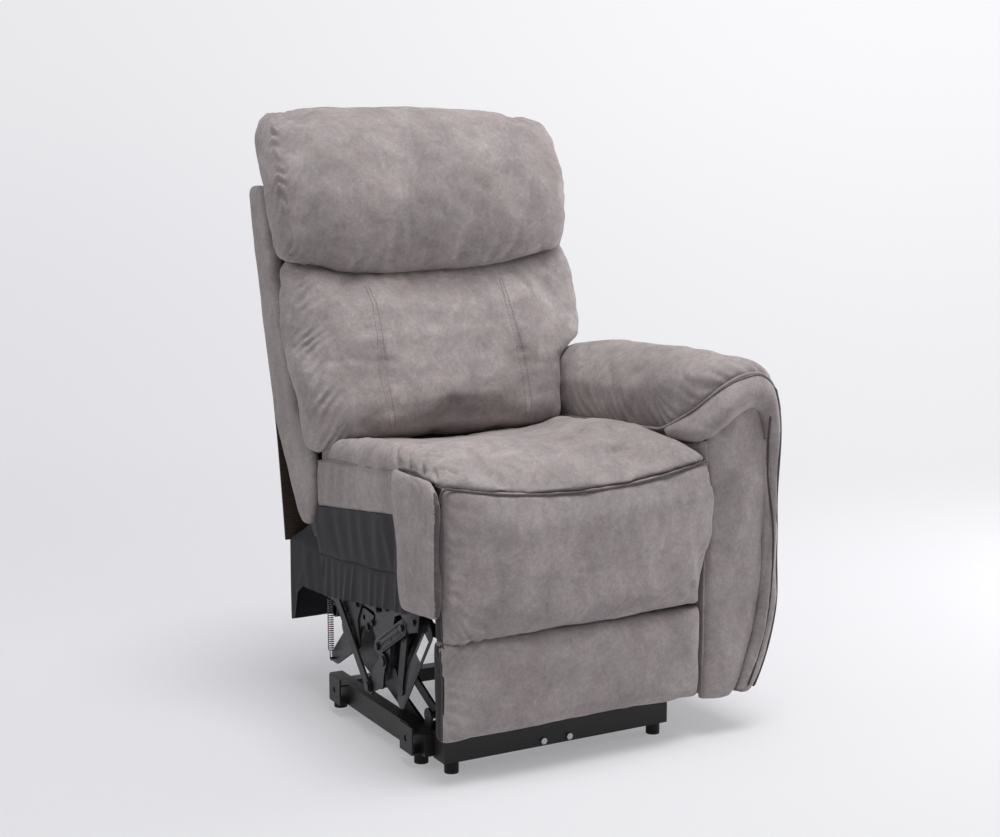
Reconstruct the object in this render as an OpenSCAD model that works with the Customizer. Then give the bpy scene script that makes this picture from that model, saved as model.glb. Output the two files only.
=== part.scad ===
// Lift recliner chair: a one-armed reclining seat unit on a tilting lift base.
// The sitter faces -Y, +X is the arm side and +Z is up. The origin lies on the floor
// under the middle of the whole chair. Sizes are in millimetres.

/* [Seat] */
// Width of the seat between the open side and the arm
seat_w = 505; // [485:1:525]
// Height of the seat platform under the cushion
platform_z = 446; // [442:0.5:450]
// Depth of the seat frame behind the closed footrest
seat_frame_d = 410; // [404:1:416]
// Height of the wooden seat rails
seat_rail_h = 62; // [50:1:70]
// Thickness of the wooden seat rails
seat_rail_t = 20; // [16:0.5:24]
// Height of the seat cushion crown above the platform
seat_crown = 94; // [88:1:98]

/* [Lift base] */
// Height of the steel rails above the floor
foot_h = 22; // [18:0.5:24]
// Height of the steel side rails
rail_h = 38; // [32:1:42]
// Width of the steel side rails
rail_w = 25; // [22:0.5:27]
// Wall of the steel rails and bars
rail_wall = 2.5; // [1.5:0.1:4]
// How far the base reaches behind the seat frame
base_back = 17; // [10:1:25]
// Radius of the round rubber feet
foot_r = 12; // [9:0.5:14]
// Radius of the bolt hole in each joining bracket
join_hole_r = 5.5; // [4:0.1:7]
// Length of each joining bracket along the rail
join_l = 46; // [38:1:54]
// Sheet thickness of the joining brackets
join_t = 3; // [2:0.1:4]

/* [Mechanism] */
// Thickness of the flat links and plates
link_t = 4; // [3:0.1:4.5]
// Gap between two links that pass each other
link_gap = 1; // [0.8:0.1:1.4]
// Width of the footrest links
link_w = 24; // [20:1:27]
// Radius of the pivot pins in the links
pin_r = 6; // [5:0.1:7]
// Radial play of each link on its pin
pin_play = 0.06; // [0.02:0.01:0.1]
// Outer radius of the torque tubes
tube_r = 12.5; // [11:0.5:14]
// Width of the lift arms
lift_arm_w = 32; // [28:1:36]
// Radius of the outer tubes of the two linear motors
motor_r = 17; // [14:0.5:19]
// Radius of the push rods
rod_r = 9; // [7:0.5:11]

/* [Back] */
// Half width of the head cushion
head_half_w = 291; // [280:1:297]
// Half width of the lumbar cushion at its foot
lumbar_half_w = 249; // [240:1:249.5]
// Height of the chair
chair_h = 1080; // [1060:1:1100]
// How far the upholstered side wings end below the top of the chair
wing_drop = 142; // [135:1:155]
// Thickness of each wing
wing_t = 20; // [16:0.5:22]
// Thickness of the wooden back posts
post_t = 24; // [18:0.5:24.5]

/* [Footrest] */
// Thickness of the footrest board
board_t = 12; // [9:0.5:15]
// Height of the footrest bottom edge above the floor when closed
footrest_bottom_z = 72; // [68:1:76]
// Height of the crease between the two footrest pads
crease_z = 234; // [225:1:243]
// Height of the footrest top edge when closed
footrest_top_z = 486; // [480:1:487]
// How far the pads stand in front of the board
pad_proud = 52; // [44:1:56]

/* [Arm] */
// Width of the arm from the seat to its widest point
arm_w = 150; // [142:1:158]
// Height of the arm with its pad
arm_top_z = 655; // [645:1:665]
// Height of the upholstered arm box under the pad
arm_box_z = 520; // [512:1:526]
// Clearance of the arm above the floor
arm_bottom_z = 71; // [66:1:78]
// How far the arm reaches behind the seat frame
arm_back = 6; // [-4:0.5:10]
// Wall of the plywood arm box
arm_ply = 12; // [9:0.5:15]

/* [Spring] */
// Radius of the spring to the middle of its wire
coil_r = 5.2; // [4.5:0.1:5.6]
// Radius of the spring wire
wire_r = 0.95; // [0.7:0.05:1.1]
// Rise of each curl of the spring
coil_pitch = 4; // [3.8:0.05:4.1]
// Number of curls
coil_turns = 24; // [20:1:25]

/* [Buttons] */
// Radius of the two push buttons
button_r = 9; // [7:0.5:10]
// How far a button stands out of its panel
button_proud = 3.5; // [3:0.1:5]
// Gap round a button
button_gap = 0.4; // [0.3:0.05:0.6]

/* [Hidden] */
$fn = 48;

// Cloth, felt and skin clearances between pieces that lie on each other
seat_gap = 0.3;

// Layers of the mechanism, each counted outwards from the middle of the seat
half_w = seat_w / 2;
plate_x = half_w - 18.5;
upper_x = plate_x - link_gap - link_t;
lower_x = upper_x - link_gap - link_t;
ottoman_x = lower_x - link_gap - link_t;
guide_x = ottoman_x - link_gap - link_t;
crank_x = plate_x + link_t + link_gap;
outer_link_x = crank_x + link_t + link_gap;
wing_x = crank_x + link_t + 0.6;
rail_x = plate_x - 2 - rail_w;
lug_x = rail_x - 1;
lift_arm_x = lug_x - 2 - 6;
lift_arm_t = 6;
control_x = lift_arm_x - link_t - link_t;

// Front and rear of the seat frame, which carry the front and the rear pivots
board_y = 40;
seat_front_y = board_y + board_t + 8;
seat_rear_y = seat_front_y + seat_frame_d;
base_rear_y = seat_rear_y + base_back;
arm_rear_y = seat_rear_y + arm_back;

// Pivots of the lift base, as [y, z]
lift_pivot = [160, foot_h + 22];
chassis_pivot = [seat_rear_y - 10, 150];
control_low = [129.7, foot_h + 58];
control_high = [342, 175];
lift_motor_pivot = [seat_rear_y - 15, 60];
lift_lever_tip = [185, 150];

// Pivots of the footrest mechanism, as [y, z]
upper_pivot = [150, 300];
elbow = [190, 112];
ottoman_pivot = [88, 238];
guide_low = [212.3, 132.1];
guide_high = [122.2, 256.1];
recline_motor_pivot = [seat_rear_y - 30, 215];
footrest_lever_tip = [199.7, 266.5];

// Pivots of the back, as [y, z]
back_pivot = [seat_rear_y + 75, 350];
crank_pivot = [235, 150];
crank_end = [288, 92];
back_lug = [seat_rear_y - 15, 258];
spring_stud = [seat_rear_y - 20, 222];
spring_tail = [seat_rear_y - 20, 98];

// Room that an opened pivot needs round its pin, because its parts follow by ratio
open_play = 4.6;
rivet_t = 2;

// Places of the seat frame
spring_wire = 3.5;
rail_top_z = platform_z - spring_wire - seat_gap;
rail_low_z = rail_top_z - seat_rail_h;
side_rail_x = plate_x - seat_rail_t;
strip_out_x = half_w + 1.2;
strip_in_x = plate_x + link_t + seat_gap;
cloth_t = 2;
cloth_x = half_w - 2.5;

// Base
rail_z = foot_h;
rail_top = foot_h + rail_h;
bar_front_y = 58;
bar_d = 40;
bar_half_w = rail_x + 10;
rail_front_y = bar_front_y + bar_d;
rail_l = base_rear_y - rail_front_y;
bar_foot_h = foot_h - 2;

// Back lines: front and rear edge of the frame at height z
back_slope = 0.364;
function back_front(z) = seat_rear_y + 86 + back_slope * (z - 552);
rear_slope = 0.2736;
function back_rear(z) = seat_rear_y + 187 + rear_slope * (z - 535);
wing_top_z = chair_h - wing_drop;
skin_t = 5;

// Arm
arm_in_x = half_w + 1.5;
arm_out_x = half_w + arm_w;
arm_round_z = 310;
arm_round_low = 51 / pow(238, 3);
arm_round_high = 26 / pow(260, 3);
function arm_out(z) = arm_out_x - (z < arm_round_z ? arm_round_low : arm_round_high)
    * pow(abs(z - arm_round_z), 3);
arm_rim = 38;
arm_front_y = -10;
arm_panel_y = 2;
arm_box_y = 24;
arm_box_out_x = arm_in_x + 56;
arm_skin_t = 8;

// The middle of the whole chair on the floor
skin_rear_y = back_rear(wing_top_z) + seat_gap + skin_t;
pad_front_y = board_y - pad_proud - 6;
origin_x = (arm_out_x - head_half_w) / 2;
origin_y = (skin_rear_y + pad_front_y) / 2;

// Colours
fabric = "#8f8484";
fabric_dark = "#33322f";
steel_black = "#1d1d20";
steel_grey = "#45464c";
wood = "#b08a5c";

// ---------- helpers ----------

module chair() {
    translate([-origin_x, -origin_y, 0]) children();
}

// A [y, z] outline as a plate of thickness t on side s, whose inner face is at x = a
module layer(s, a, t) {
    translate([s > 0 ? a : -a - t, 0, 0]) rotate([90, 0, 90]) linear_extrude(t) children();
}

// A [y, z] outline across the chair, from x0 to x1
module across(x0, x1) {
    translate([x0, 0, 0]) rotate([90, 0, 90]) linear_extrude(x1 - x0) children();
}

// A [x, z] outline from y0 to y1
module along(y0, y1) {
    translate([0, y1, 0]) rotate([90, 0, 0]) linear_extrude(y1 - y0) children();
}

// A straight web from p to q, a little narrower than the eyes of width w at its ends
waist = 0.84;
module web(p, q, w) {
    translate(p) rotate(atan2(q[1] - p[1], q[0] - p[0]))
        translate([0, -w * waist / 2]) square([norm(q - p), w * waist]);
}

// A flat link with a round eye at each point and a web between each two
module link(points, w) {
    for (p = points) translate(p) circle(d = w);
    for (i = [0:len(points) - 2]) web(points[i], points[i + 1], w);
}

// A pin along x on side s at p, from x = a to x = b
module pin(s, p, a, b, r) {
    translate([s > 0 ? a : -b, p[0], p[1]]) rotate([0, 90, 0]) cylinder(r = r, h = b - a);
}

module hole(p, r) {
    translate(p) circle(r = r);
}

// A pin that starts in the outer plate and ends in a rivet head at x = a - play
module rivet_in(s, p, a, b, r) {
    pin(s, p, a - seat_gap, b, r);
    pin(s, p, a - seat_gap - rivet_t, a - seat_gap, r + 3);
}

// A pin that starts in the inner plate and ends in a rivet head beyond x = b
module rivet_out(s, p, a, b, r) {
    pin(s, p, a, b + seat_gap, r);
    pin(s, p, b + seat_gap, b + seat_gap + rivet_t, r + 3);
}

// ---------- functions of the soft forms ----------

function sgn_pow(v, e) = (v < 0 ? -1 : 1) * pow(abs(v), e);

// Rounded rectangle with n points round the middle [cx, cy]
function round_ring(cx, cy, hx, hy, n, e) = [
    for (i = [0:n - 1]) let (a = 360 * i / n)
        [cx + hx * sgn_pow(cos(a), 2 / e), cy + hy * sgn_pow(sin(a), 2 / e)]
];

// Smooth value between stations p at u, which runs from 0 to the last station
function smooth(p, u) =
    let (
        last = len(p) - 1,
        i = min(floor(u), last - 1),
        f = u - i,
        a = p[max(i - 1, 0)], b = p[i], c = p[i + 1], d = p[min(i + 2, last)]
    )
    b + f * ((c - a) / 2 + f * ((2 * a - 5 * b + 4 * c - d) / 2
        + f * (3 * b - a - 3 * c + d) / 2));

// The middle of a ring of points
function middle(ring, i = 0) = i == len(ring) ? [0, 0, 0] : ring[i] / len(ring) + middle(ring, i + 1);

// A closed form through rings of points, all with the same count, closed at each end from its middle
module skin(rings, inside_out = false) {
    n = len(rings[0]);
    m = len(rings);
    sides = [
        for (i = [0:m - 2]) for (j = [0:n - 1]) let (k = (j + 1) % n)
            each [
                [i * n + j, i * n + k, (i + 1) * n + k],
                [i * n + j, (i + 1) * n + k, (i + 1) * n + j]
            ]
    ];
    first = [for (j = [0:n - 1]) [m * n, (j + 1) % n, j]];
    final = [for (j = [0:n - 1]) [m * n + 1, (m - 1) * n + j, (m - 1) * n + (j + 1) % n]];
    faces = concat(sides, first, final);
    polyhedron(
        points = concat([for (r = rings) each r], [middle(rings[0]), middle(rings[m - 1])]),
        faces = inside_out ? faces : [for (f = faces) [f[0], f[2], f[1]]]
    );
}

// Depth of a sewn channel of half width w at distance d from its middle
function channel(d, w, depth) = depth * exp(-pow(d / w, 2));

// ---------- lift base ----------

module steel_rail(s) {
    difference() {
        layer(s, rail_x, rail_w) translate([rail_front_y, rail_z]) square([rail_l, rail_h]);
        along(rail_front_y + rail_wall, base_rear_y - rail_wall)
            translate([s > 0 ? rail_x + rail_wall : -rail_x - rail_w + rail_wall, rail_z + rail_wall])
                square([rail_w - 2 * rail_wall, rail_h - 2 * rail_wall]);
    }
    pin(s, lift_pivot, lift_arm_x + seat_gap, rail_x + rail_w / 2, pin_r + 2);
    layer(s, rail_x, link_t) link([control_low, [control_low[0], rail_z + rail_h - 9]], 26);
    rivet_in(s, control_low, control_x, rail_x + 2, pin_r);
}

module base_rail_left() { color(steel_black) chair() steel_rail(-1); }
module base_rail_right() { color(steel_black) chair() steel_rail(1); }

module front_cross_bar() {
    color(steel_black) chair() difference() {
        across(-bar_half_w, bar_half_w)
            translate([bar_front_y, bar_foot_h]) square([bar_d - seat_gap, rail_top - bar_foot_h]);
        across(-bar_half_w + rail_wall, bar_half_w - rail_wall)
            translate([bar_front_y + rail_wall, bar_foot_h + rail_wall])
                square([bar_d - seat_gap - 2 * rail_wall, rail_top - bar_foot_h - 2 * rail_wall]);
    }
}

clevis_x = 14;
module rear_cross_bar() {
    color(steel_black) chair() {
        difference() {
            across(-rail_x, rail_x)
                translate([base_rear_y - rail_w, rail_z]) square([rail_w, rail_w]);
            across(-rail_x + rail_wall, rail_x - rail_wall)
                translate([base_rear_y - rail_w + rail_wall, rail_z + rail_wall])
                    square(rail_w - 2 * rail_wall);
        }
        for (s = [-1, 1]) layer(s, clevis_x, link_t) difference() {
            link([lift_motor_pivot, [base_rear_y - rail_w + 1, rail_z + rail_w / 2]], rail_w - 3);
            hole(lift_motor_pivot, pin_r + pin_play);
        }
    }
}

join_y = [112, seat_rear_y - 66];
join_z = [foot_h + 1, foot_h + 48];
module joining_brackets() {
    top = min(join_z[1], rail_top + 10);
    color(steel_black) chair() for (y = join_y) difference() {
        union() {
            layer(-1, half_w - 3.5 - join_t, join_t)
                translate([y, join_z[0]]) square([join_l, top - join_z[0]]);
            for (z = [join_z[0], rail_top - join_t])
                layer(-1, rail_x + rail_w, half_w - 3.5 - join_t - rail_x - rail_w)
                    translate([y, z]) square([join_l, join_t]);
        }
        pin(-1, [y + join_l / 2, (join_z[0] + top) / 2], half_w - 8 - join_t, half_w, join_hole_r);
    }
}

bar_foot_x = bar_half_w - 20;
module base_feet() {
    color("#151515") chair() {
        for (s = [-1, 1]) {
            translate([s * bar_foot_x, bar_front_y + foot_r + 2, 0])
                cylinder(r = foot_r, h = bar_foot_h);
            for (y = [join_y[0] + join_l / 2 + 2, base_rear_y - foot_r - 8])
                translate([s * (rail_x + rail_w / 2), y, 0]) cylinder(r = foot_r, h = foot_h);
        }
    }
}

bolt_x = [-32, 18];
bolt_r = 6;
module base_bolts() {
    color("#c9c9cc") chair() for (x = bolt_x)
        translate([x, bar_front_y, bar_foot_h + bolt_r + 3])
            rotate([90, 0, 0]) cylinder(r = bolt_r, h = 4, $fn = 6);
}

// ---------- lift arms and their motor ----------

module lift_arms() {
    color(steel_grey) chair() for (s = [-1, 1]) layer(s, lift_arm_x, lift_arm_t) difference() {
        link([lift_pivot, chassis_pivot], lift_arm_w);
        hole(lift_pivot, pin_r + 2 + pin_play);
        hole(chassis_pivot, pin_r + 2 + pin_play);
    }
}

lever_t = 6;
module lift_torque_tube() {
    color(steel_grey) chair() {
        difference() {
            across(-lift_arm_x, lift_arm_x) hole(lift_pivot, tube_r + 1.5);
            across(-lift_arm_x - 1, lift_arm_x + 1) hole(lift_pivot, tube_r - 1);
        }
        across(-lever_t / 2, lever_t / 2) difference() {
            link([lift_pivot, lift_lever_tip], 26);
            hole(lift_lever_tip, pin_r + pin_play);
            hole(lift_pivot, tube_r);
        }
    }
}

module control_links() {
    color(steel_black) chair() for (s = [-1, 1]) layer(s, control_x, link_t) difference() {
        union() {
            link([control_low, control_high], link_w - 2);
            hole(control_high, pin_r + open_play + 5);
        }
        hole(control_low, pin_r + pin_play);
        hole(control_high, pin_r + open_play);
    }
}

lift_tube_l = 190;
recline_tube_l = 178;
gear_case_l = 56.5;
rod_start = 55;
case_behind = 8.5;
can_x = 2 * motor_r + 4;
can_l = 110;
neck_y = 22;
neck_l = 26;
tube_from = neck_y - 4;
// A linear motor at pivot p that points at q: gear case, outer tube and motor can
module linear_motor(p, q, tube_l) {
    translate([0, p[0], p[1]]) rotate([atan2(q[1] - p[1], q[0] - p[0]), 0, 0]) {
        difference() {
            union() {
                translate([0, tube_from, 0]) rotate([-90, 0, 0])
                    cylinder(r = motor_r, h = tube_l - tube_from);
                translate([-clevis_x + 1, -case_behind, -13])
                    cube([2 * clevis_x - 2, gear_case_l - case_behind, 26]);
                translate([clevis_x - 4, neck_y, -11]) cube([can_x - clevis_x + 10, neck_l, 22]);
                translate([can_x, neck_y + 8, 0]) rotate([-90, 0, 0]) cylinder(r = motor_r, h = can_l);
            }
            translate([0, rod_start - 1, 0]) rotate([-90, 0, 0]) cylinder(r = rod_r + pin_play, h = tube_l);
        }
        rotate([0, 90, 0]) cylinder(r = pin_r, h = 2 * (clevis_x + link_t), center = true);
    }
}

fork_l = 60;
cheek_t = 4;
fork_play = 0.4;
// The rod of the motor at p, whose fork straddles the lever tip at q
module push_rod(p, q) {
    reach = norm(q - p);
    translate([0, p[0], p[1]]) rotate([atan2(q[1] - p[1], q[0] - p[0]), 0, 0]) {
        translate([0, rod_start, 0]) rotate([-90, 0, 0])
            cylinder(r = rod_r, h = reach - fork_l - rod_start);
        difference() {
            translate([-lever_t / 2 - cheek_t - fork_play, reach - fork_l, -rod_r])
                cube([lever_t + 2 * (cheek_t + fork_play), fork_l + 10, 2 * rod_r]);
            translate([-lever_t / 2 - fork_play, reach - fork_l + 8, -rod_r - 1])
                cube([lever_t + 2 * fork_play, fork_l + 10, 2 * rod_r + 2]);
        }
    }
}

module lift_motor() {
    color("#2b2b2e") chair() linear_motor(lift_motor_pivot, lift_lever_tip, lift_tube_l);
}
module lift_rod() { color("#b9babd") chair() push_rod(lift_motor_pivot, lift_lever_tip); }

// ---------- chassis ----------

// Rear end of the plate, with y counted from the rear of the seat frame
plate_tail = [
    [-92, 124], [-32, 90], [-10, 90], [-8, 106], [-62, 156], [-50, 196], [-8, 204], [86, 322],
    [102, 350], [86, 374], [8, 374], [-2, 436]
];
plate_outline = [
    [66, 436], [66, 345], [92, 300], [124, 266], [196, 236], [214, 176], [216, 140],
    [235, 128], [256, 140], [268, 176], [288, 204], [330, 186], [352, 140],
    for (p = plate_tail) [seat_rear_y + p[0], p[1]]
];
plate_slot = [
    [384, 214], [350, 222], [312, 227], [278, 225], [271, 219], [276, 205], [281, 206],
    [278, 217], [311, 222], [348, 217], [382, 209]
];
module side_plate(s) {
    difference() {
        union() {
            layer(s, plate_x, link_t) polygon(plate_outline);
            pin(s, upper_pivot, upper_x + seat_gap, plate_x + 1, pin_r);
            rivet_out(s, crank_pivot, plate_x + 1, crank_x + link_t, pin_r);
            if (s < 0) for (p = [spring_stud, spring_tail]) pin(s, p, plate_x + 1, spring_x + 2, stud_r);
        }
        layer(s, plate_x - 1, link_t + 2) {
            hole(back_pivot, pin_r + pin_play);
            polygon(plate_slot);
            hole([358, 182], 5);
            hole([318, 206], 5);
            hole([250, 236], 5);
            hole([390, 240], 8);
        }
    }
}

module side_plate_left() { color(steel_grey) chair() side_plate(-1); }
module side_plate_right() { color(steel_grey) chair() side_plate(1); }

rear_tube = [seat_rear_y - 15, 185];
front_tube = [262, 330];
module rear_torque_tube() {
    color(steel_black) chair() {
        difference() {
            across(-plate_x, plate_x) hole(rear_tube, tube_r);
            across(-plate_x - 1, plate_x + 1) hole(rear_tube, tube_r - 2.5);
        }
        for (s = [-1, 1]) layer(s, clevis_x, link_t) difference() {
            link([recline_motor_pivot, rear_tube], 29);
            hole(recline_motor_pivot, pin_r + pin_play);
            hole(rear_tube, tube_r - 1);
        }
    }
}

module front_cross_tube() {
    color(steel_black) chair() difference() {
        across(-plate_x, plate_x) hole(front_tube, tube_r);
        across(-plate_x - 1, plate_x + 1) hole(front_tube, tube_r - 2.5);
    }
}

lug_t = 4;
module lift_lugs() {
    color(steel_grey) chair() for (s = [-1, 1]) {
        layer(s, lug_x, lug_t) difference() {
            union() {
                link([chassis_pivot, rear_tube, control_high, front_tube], 2 * tube_r + 13);
            }
            hole(rear_tube, tube_r + pin_play);
            hole(front_tube, tube_r + pin_play);
        }
        rivet_in(s, chassis_pivot, lift_arm_x, lug_x + 1, pin_r + 2);
        rivet_in(s, control_high, control_x, lug_x + 1, pin_r);
    }
}

module seat_side_rails() {
    color(wood) chair() for (s = [-1, 1]) layer(s, side_rail_x, seat_rail_t)
        translate([seat_front_y, rail_low_z]) square([seat_frame_d, seat_rail_h]);
}

module seat_front_rail() {
    color(wood) chair() across(-side_rail_x, side_rail_x)
        translate([seat_front_y, rail_low_z]) square([seat_rail_t, seat_rail_h]);
}

module seat_rear_rail() {
    color(wood) chair() across(-side_rail_x, side_rail_x)
        translate([seat_rear_y - seat_rail_t, rail_low_z]) square([seat_rail_t, seat_rail_h]);
}

seat_spring_x = [-160, -80, 0, 80, 160];
bends = 14;
module seat_springs() {
    r = (seat_frame_d - 10) / bends / 2;
    color("#8a8b8f") chair() for (x = seat_spring_x) translate([x, seat_front_y + 5, rail_top_z])
        linear_extrude(spring_wire) for (i = [0:bends - 1]) translate([0, r + 2 * r * i]) difference() {
            circle(r = r + spring_wire / 2);
            circle(r = r - spring_wire / 2);
            translate([i % 2 == 0 ? -2 * r : 0, -2 * r]) square([2 * r, 4 * r]);
        }
}

// Half width of the seat cushion and of the pads, which clear the arm and the boxing
cushion_half_w = half_w - 2.5;
// Stations of the seat top, from the nose back to the lumbar cushion: [y, height of the top]
seat_top = [
    [3, 0.52], [28, 0.72], [68, 0.88], [140, 1], [seat_rear_y / 2, 0.94],
    [seat_rear_y - 140, 0.77], [seat_rear_y - 74, 0.56], [seat_rear_y - 32, 0.42],
    [seat_rear_y - 4, 0.3]
];
lip_z = 45;
nose_bow = 9;
seam_x = 92;
function seat_ring(t) =
    let (
        x = cushion_half_w * t,
        drop = 0.26 * pow(abs(t), 6) + channel(abs(x) - seam_x, 13, 0.05),
        bow = nose_bow * (1 - t * t),
        low = [
            [seat_rear_y, platform_z + seat_gap], [seat_rear_y - 140, platform_z + seat_gap],
            [180, platform_z + seat_gap], [board_y + board_t + 6, platform_z + seat_gap],
            [board_y + board_t + 6, platform_z + lip_z - 8],
            [board_y + board_t - 2, platform_z + lip_z], [24, platform_z + lip_z],
            [6 - bow, platform_z + lip_z + 0.5]
        ]
    )
    concat(
        [for (p = low) [x, p[0], p[1]]],
        [for (i = [0:16]) let (
            p = smooth(seat_top, i / 2),
            tuck = 1 - drop * min(1, max(0, (p[0] - 8) / 60)),
            lift = p[0] < 10 ? lip_z + 4 : seat_crown * p[1] * tuck
        ) [x, p[0] - bow * max(0, 1 - p[0] / 120), platform_z + max(lift, p[0] < 60 ? lip_z + 4 : 12)]]
    );
seat_rings = 18;
module seat_cushion() {
    color(fabric) chair()
        skin([for (i = [0:seat_rings]) seat_ring(sin(90 * (2 * i / seat_rings - 1)))], true);
}

strip_rear_y = seat_rear_y + 8;
boxing_rear_y = 150;
strip_drop = 0.132;
function strip_low(y) = 418 - strip_drop * (y - boxing_rear_y);
module side_strip() {
    color(fabric) chair() {
        layer(-1, strip_in_x, strip_out_x - strip_in_x) polygon([
            [seat_front_y - 2, platform_z - seat_gap], [seat_front_y - 2, strip_low(seat_front_y)],
            [strip_rear_y, strip_low(strip_rear_y)], [strip_rear_y, platform_z - seat_gap]
        ]);
        layer(-1, cushion_half_w + seat_gap, strip_out_x - cushion_half_w - seat_gap) polygon([
            [seat_front_y - 2, platform_z - 1], [strip_rear_y, platform_z - 1],
            [strip_rear_y, platform_z + 6], [seat_rear_y - 20, platform_z + 18],
            [boxing_rear_y, platform_z + lip_z], [seat_front_y - 2, platform_z + lip_z]
        ]);
    }
}

boxing_low_z = 265;
boxing_top_z = 500;
boxing_front_y = -6;
module boxing_board() {
    color(wood) chair() layer(-1, strip_in_x, strip_out_x - strip_in_x)
        translate([seat_front_y - 2, boxing_low_z + 12])
            square([boxing_rear_y - seat_front_y - 2, strip_low(boxing_rear_y) - boxing_low_z - 12.4]);
}

boxing_t = 15;
// Stations of the padded boxing from foot to top: [height, share of the depth, share of the thickness]
boxing_form = [
    [0, 0.6, 0.3], [0.03, 0.86, 0.7], [0.12, 0.98, 0.95], [0.5, 1, 1], [0.86, 0.97, 0.95],
    [0.96, 0.8, 0.72], [1, 0.56, 0.3]
];
module side_boxing() {
    mid_y = (boxing_front_y + boxing_rear_y) / 2;
    half_d = (boxing_rear_y - boxing_front_y) / 2;
    color(fabric) chair() skin([for (i = [0:12]) let (
            p = smooth(boxing_form, i / 2),
            z = boxing_low_z + (boxing_top_z - boxing_low_z) * p[0],
            t = boxing_t * p[2]
        ) [for (q = round_ring(0, mid_y, t, half_d * p[1], 20, 3.2))
            [-strip_out_x - seat_gap - max(0, q[0]), q[1], z]]
    ]);
}

module side_cloth() {
    color(fabric_dark) chair() layer(-1, cloth_x, cloth_t) polygon([
        [boxing_rear_y + 1, strip_low(boxing_rear_y) - seat_gap],
        [boxing_rear_y + 1, 262], [seat_rear_y - 28, 216], [seat_rear_y - 24, 283],
        [strip_rear_y, strip_low(strip_rear_y) - seat_gap]
    ]);
}

skirt_front_y = seat_rear_y - 23.7;
skirt_rear_y = seat_rear_y + 151;
skirt_low_z = 130;
skirt_top_z = 281;
module rear_skirt() {
    color(fabric_dark) chair() {
        for (s = [-1, 1]) layer(s, cloth_x, cloth_t) polygon([
            [skirt_front_y, skirt_top_z], [skirt_rear_y - cloth_t - seat_gap, skirt_top_z],
            [skirt_rear_y - cloth_t - seat_gap, skirt_low_z], [skirt_rear_y - 21, skirt_low_z + 6],
            [skirt_rear_y - 35, 190], [skirt_rear_y - 59, 207], [skirt_front_y, 213]
        ]);
        translate([-cloth_x - cloth_t, skirt_rear_y - cloth_t, skirt_low_z])
            cube([2 * (cloth_x + cloth_t), cloth_t, skirt_top_z - skirt_low_z]);
    }
}

// ---------- arm ----------

arm_frame_x = arm_in_x + arm_skin_t + seat_gap;
arm_frame_w = arm_box_out_x - arm_frame_x;
arm_frame_d = arm_rear_y - arm_box_y - seat_gap;
module arm_frame() {
    color(wood) chair() translate([arm_frame_x, arm_box_y + seat_gap, 0]) difference() {
        translate([0, 0, arm_bottom_z + 14])
            cube([arm_frame_w, arm_frame_d, arm_box_z - arm_bottom_z - 14 - seat_gap]);
        translate([arm_ply, arm_ply, arm_bottom_z])
            cube([arm_frame_w - 2 * arm_ply, arm_frame_d - 2 * arm_ply,
                arm_box_z - arm_bottom_z - arm_ply - seat_gap]);
    }
}

cleat_y = [100, seat_rear_y - 70];
module arm_inner_panel() {
    color(fabric) chair() {
        translate([arm_in_x, arm_box_y, arm_bottom_z + 4])
            cube([arm_skin_t, arm_rear_y - arm_box_y, arm_box_z - arm_bottom_z - 4 - seat_gap]);
        for (y = cleat_y) translate([plate_x + link_t, y, rail_low_z])
            cube([arm_in_x - plate_x - link_t + 1, 30, seat_rail_h - 8]);
    }
}

arm_edge_z = [for (i = [0:14]) arm_bottom_z + (arm_box_z - arm_bottom_z) * i / 14];
module arm_front_panel() {
    rows = 12;
    color(fabric) chair() skin([for (i = [0:rows]) let (
            u = i / rows,
            z = arm_bottom_z + (arm_box_z - seat_gap - arm_bottom_z) * u,
            x0 = arm_in_x + 2 + 8 * u,
            x1 = arm_out(z) - arm_rim - 1,
            depth = (arm_box_y - arm_panel_y) * min(1, 0.55 + 3 * min(u, 1 - u))
        ) [for (q = round_ring((x0 + x1) / 2, arm_box_y, (x1 - x0) / 2, depth, 20, 3))
            [q[0], min(q[1], arm_box_y), z]]
    ], true);
}

panel_y = [62, 152];
panel_z = [448, 488];
panel_t = 12;
panel_face_x = arm_out_x - 5.5;
module panel_outline(grow) {
    r = (panel_z[1] - panel_z[0]) / 2;
    mid = (panel_z[0] + panel_z[1]) / 2;
    link([[panel_y[0] + r, mid], [panel_y[1] - r, mid]], 2 * (r + grow));
}

panel_top_z = arm_box_z - seat_gap;
arm_edge = [for (z = arm_edge_z) [arm_out(z), min(z, panel_top_z)]];
module arm_outer_panel() {
    outer_edge = [for (i = [len(arm_edge) - 1:-1:0]) arm_edge[i]];
    rim_edge = [for (p = arm_edge) [p[0] - arm_rim, p[1]]];
    skin_x = arm_box_out_x + seat_gap;
    color(fabric) chair() difference() {
        union() {
            along(arm_box_y + seat_gap, arm_rear_y)
                polygon(concat([[skin_x, arm_bottom_z], [skin_x, panel_top_z]], outer_edge));
            along(arm_front_y, arm_box_y + seat_gap) polygon(concat(rim_edge, outer_edge));
        }
        across(panel_face_x - panel_t - seat_gap, arm_out_x + 1) panel_outline(seat_gap);
    }
}

welt_r = 3;
welt_rows = 22;
module arm_welt() {
    color(fabric) chair() skin([for (i = [0:welt_rows]) let (
            z = arm_bottom_z + 6 + (arm_box_z - arm_bottom_z - 12) * i / welt_rows,
            x = arm_out(z) - 6
        ) [for (k = [0:5]) [x + welt_r * cos(60 * k), arm_front_y - welt_r - 0.1 + welt_r * sin(60 * k), z]]
    ], true);
}

arm_half_h = (arm_top_z - arm_box_z) / 2;
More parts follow.
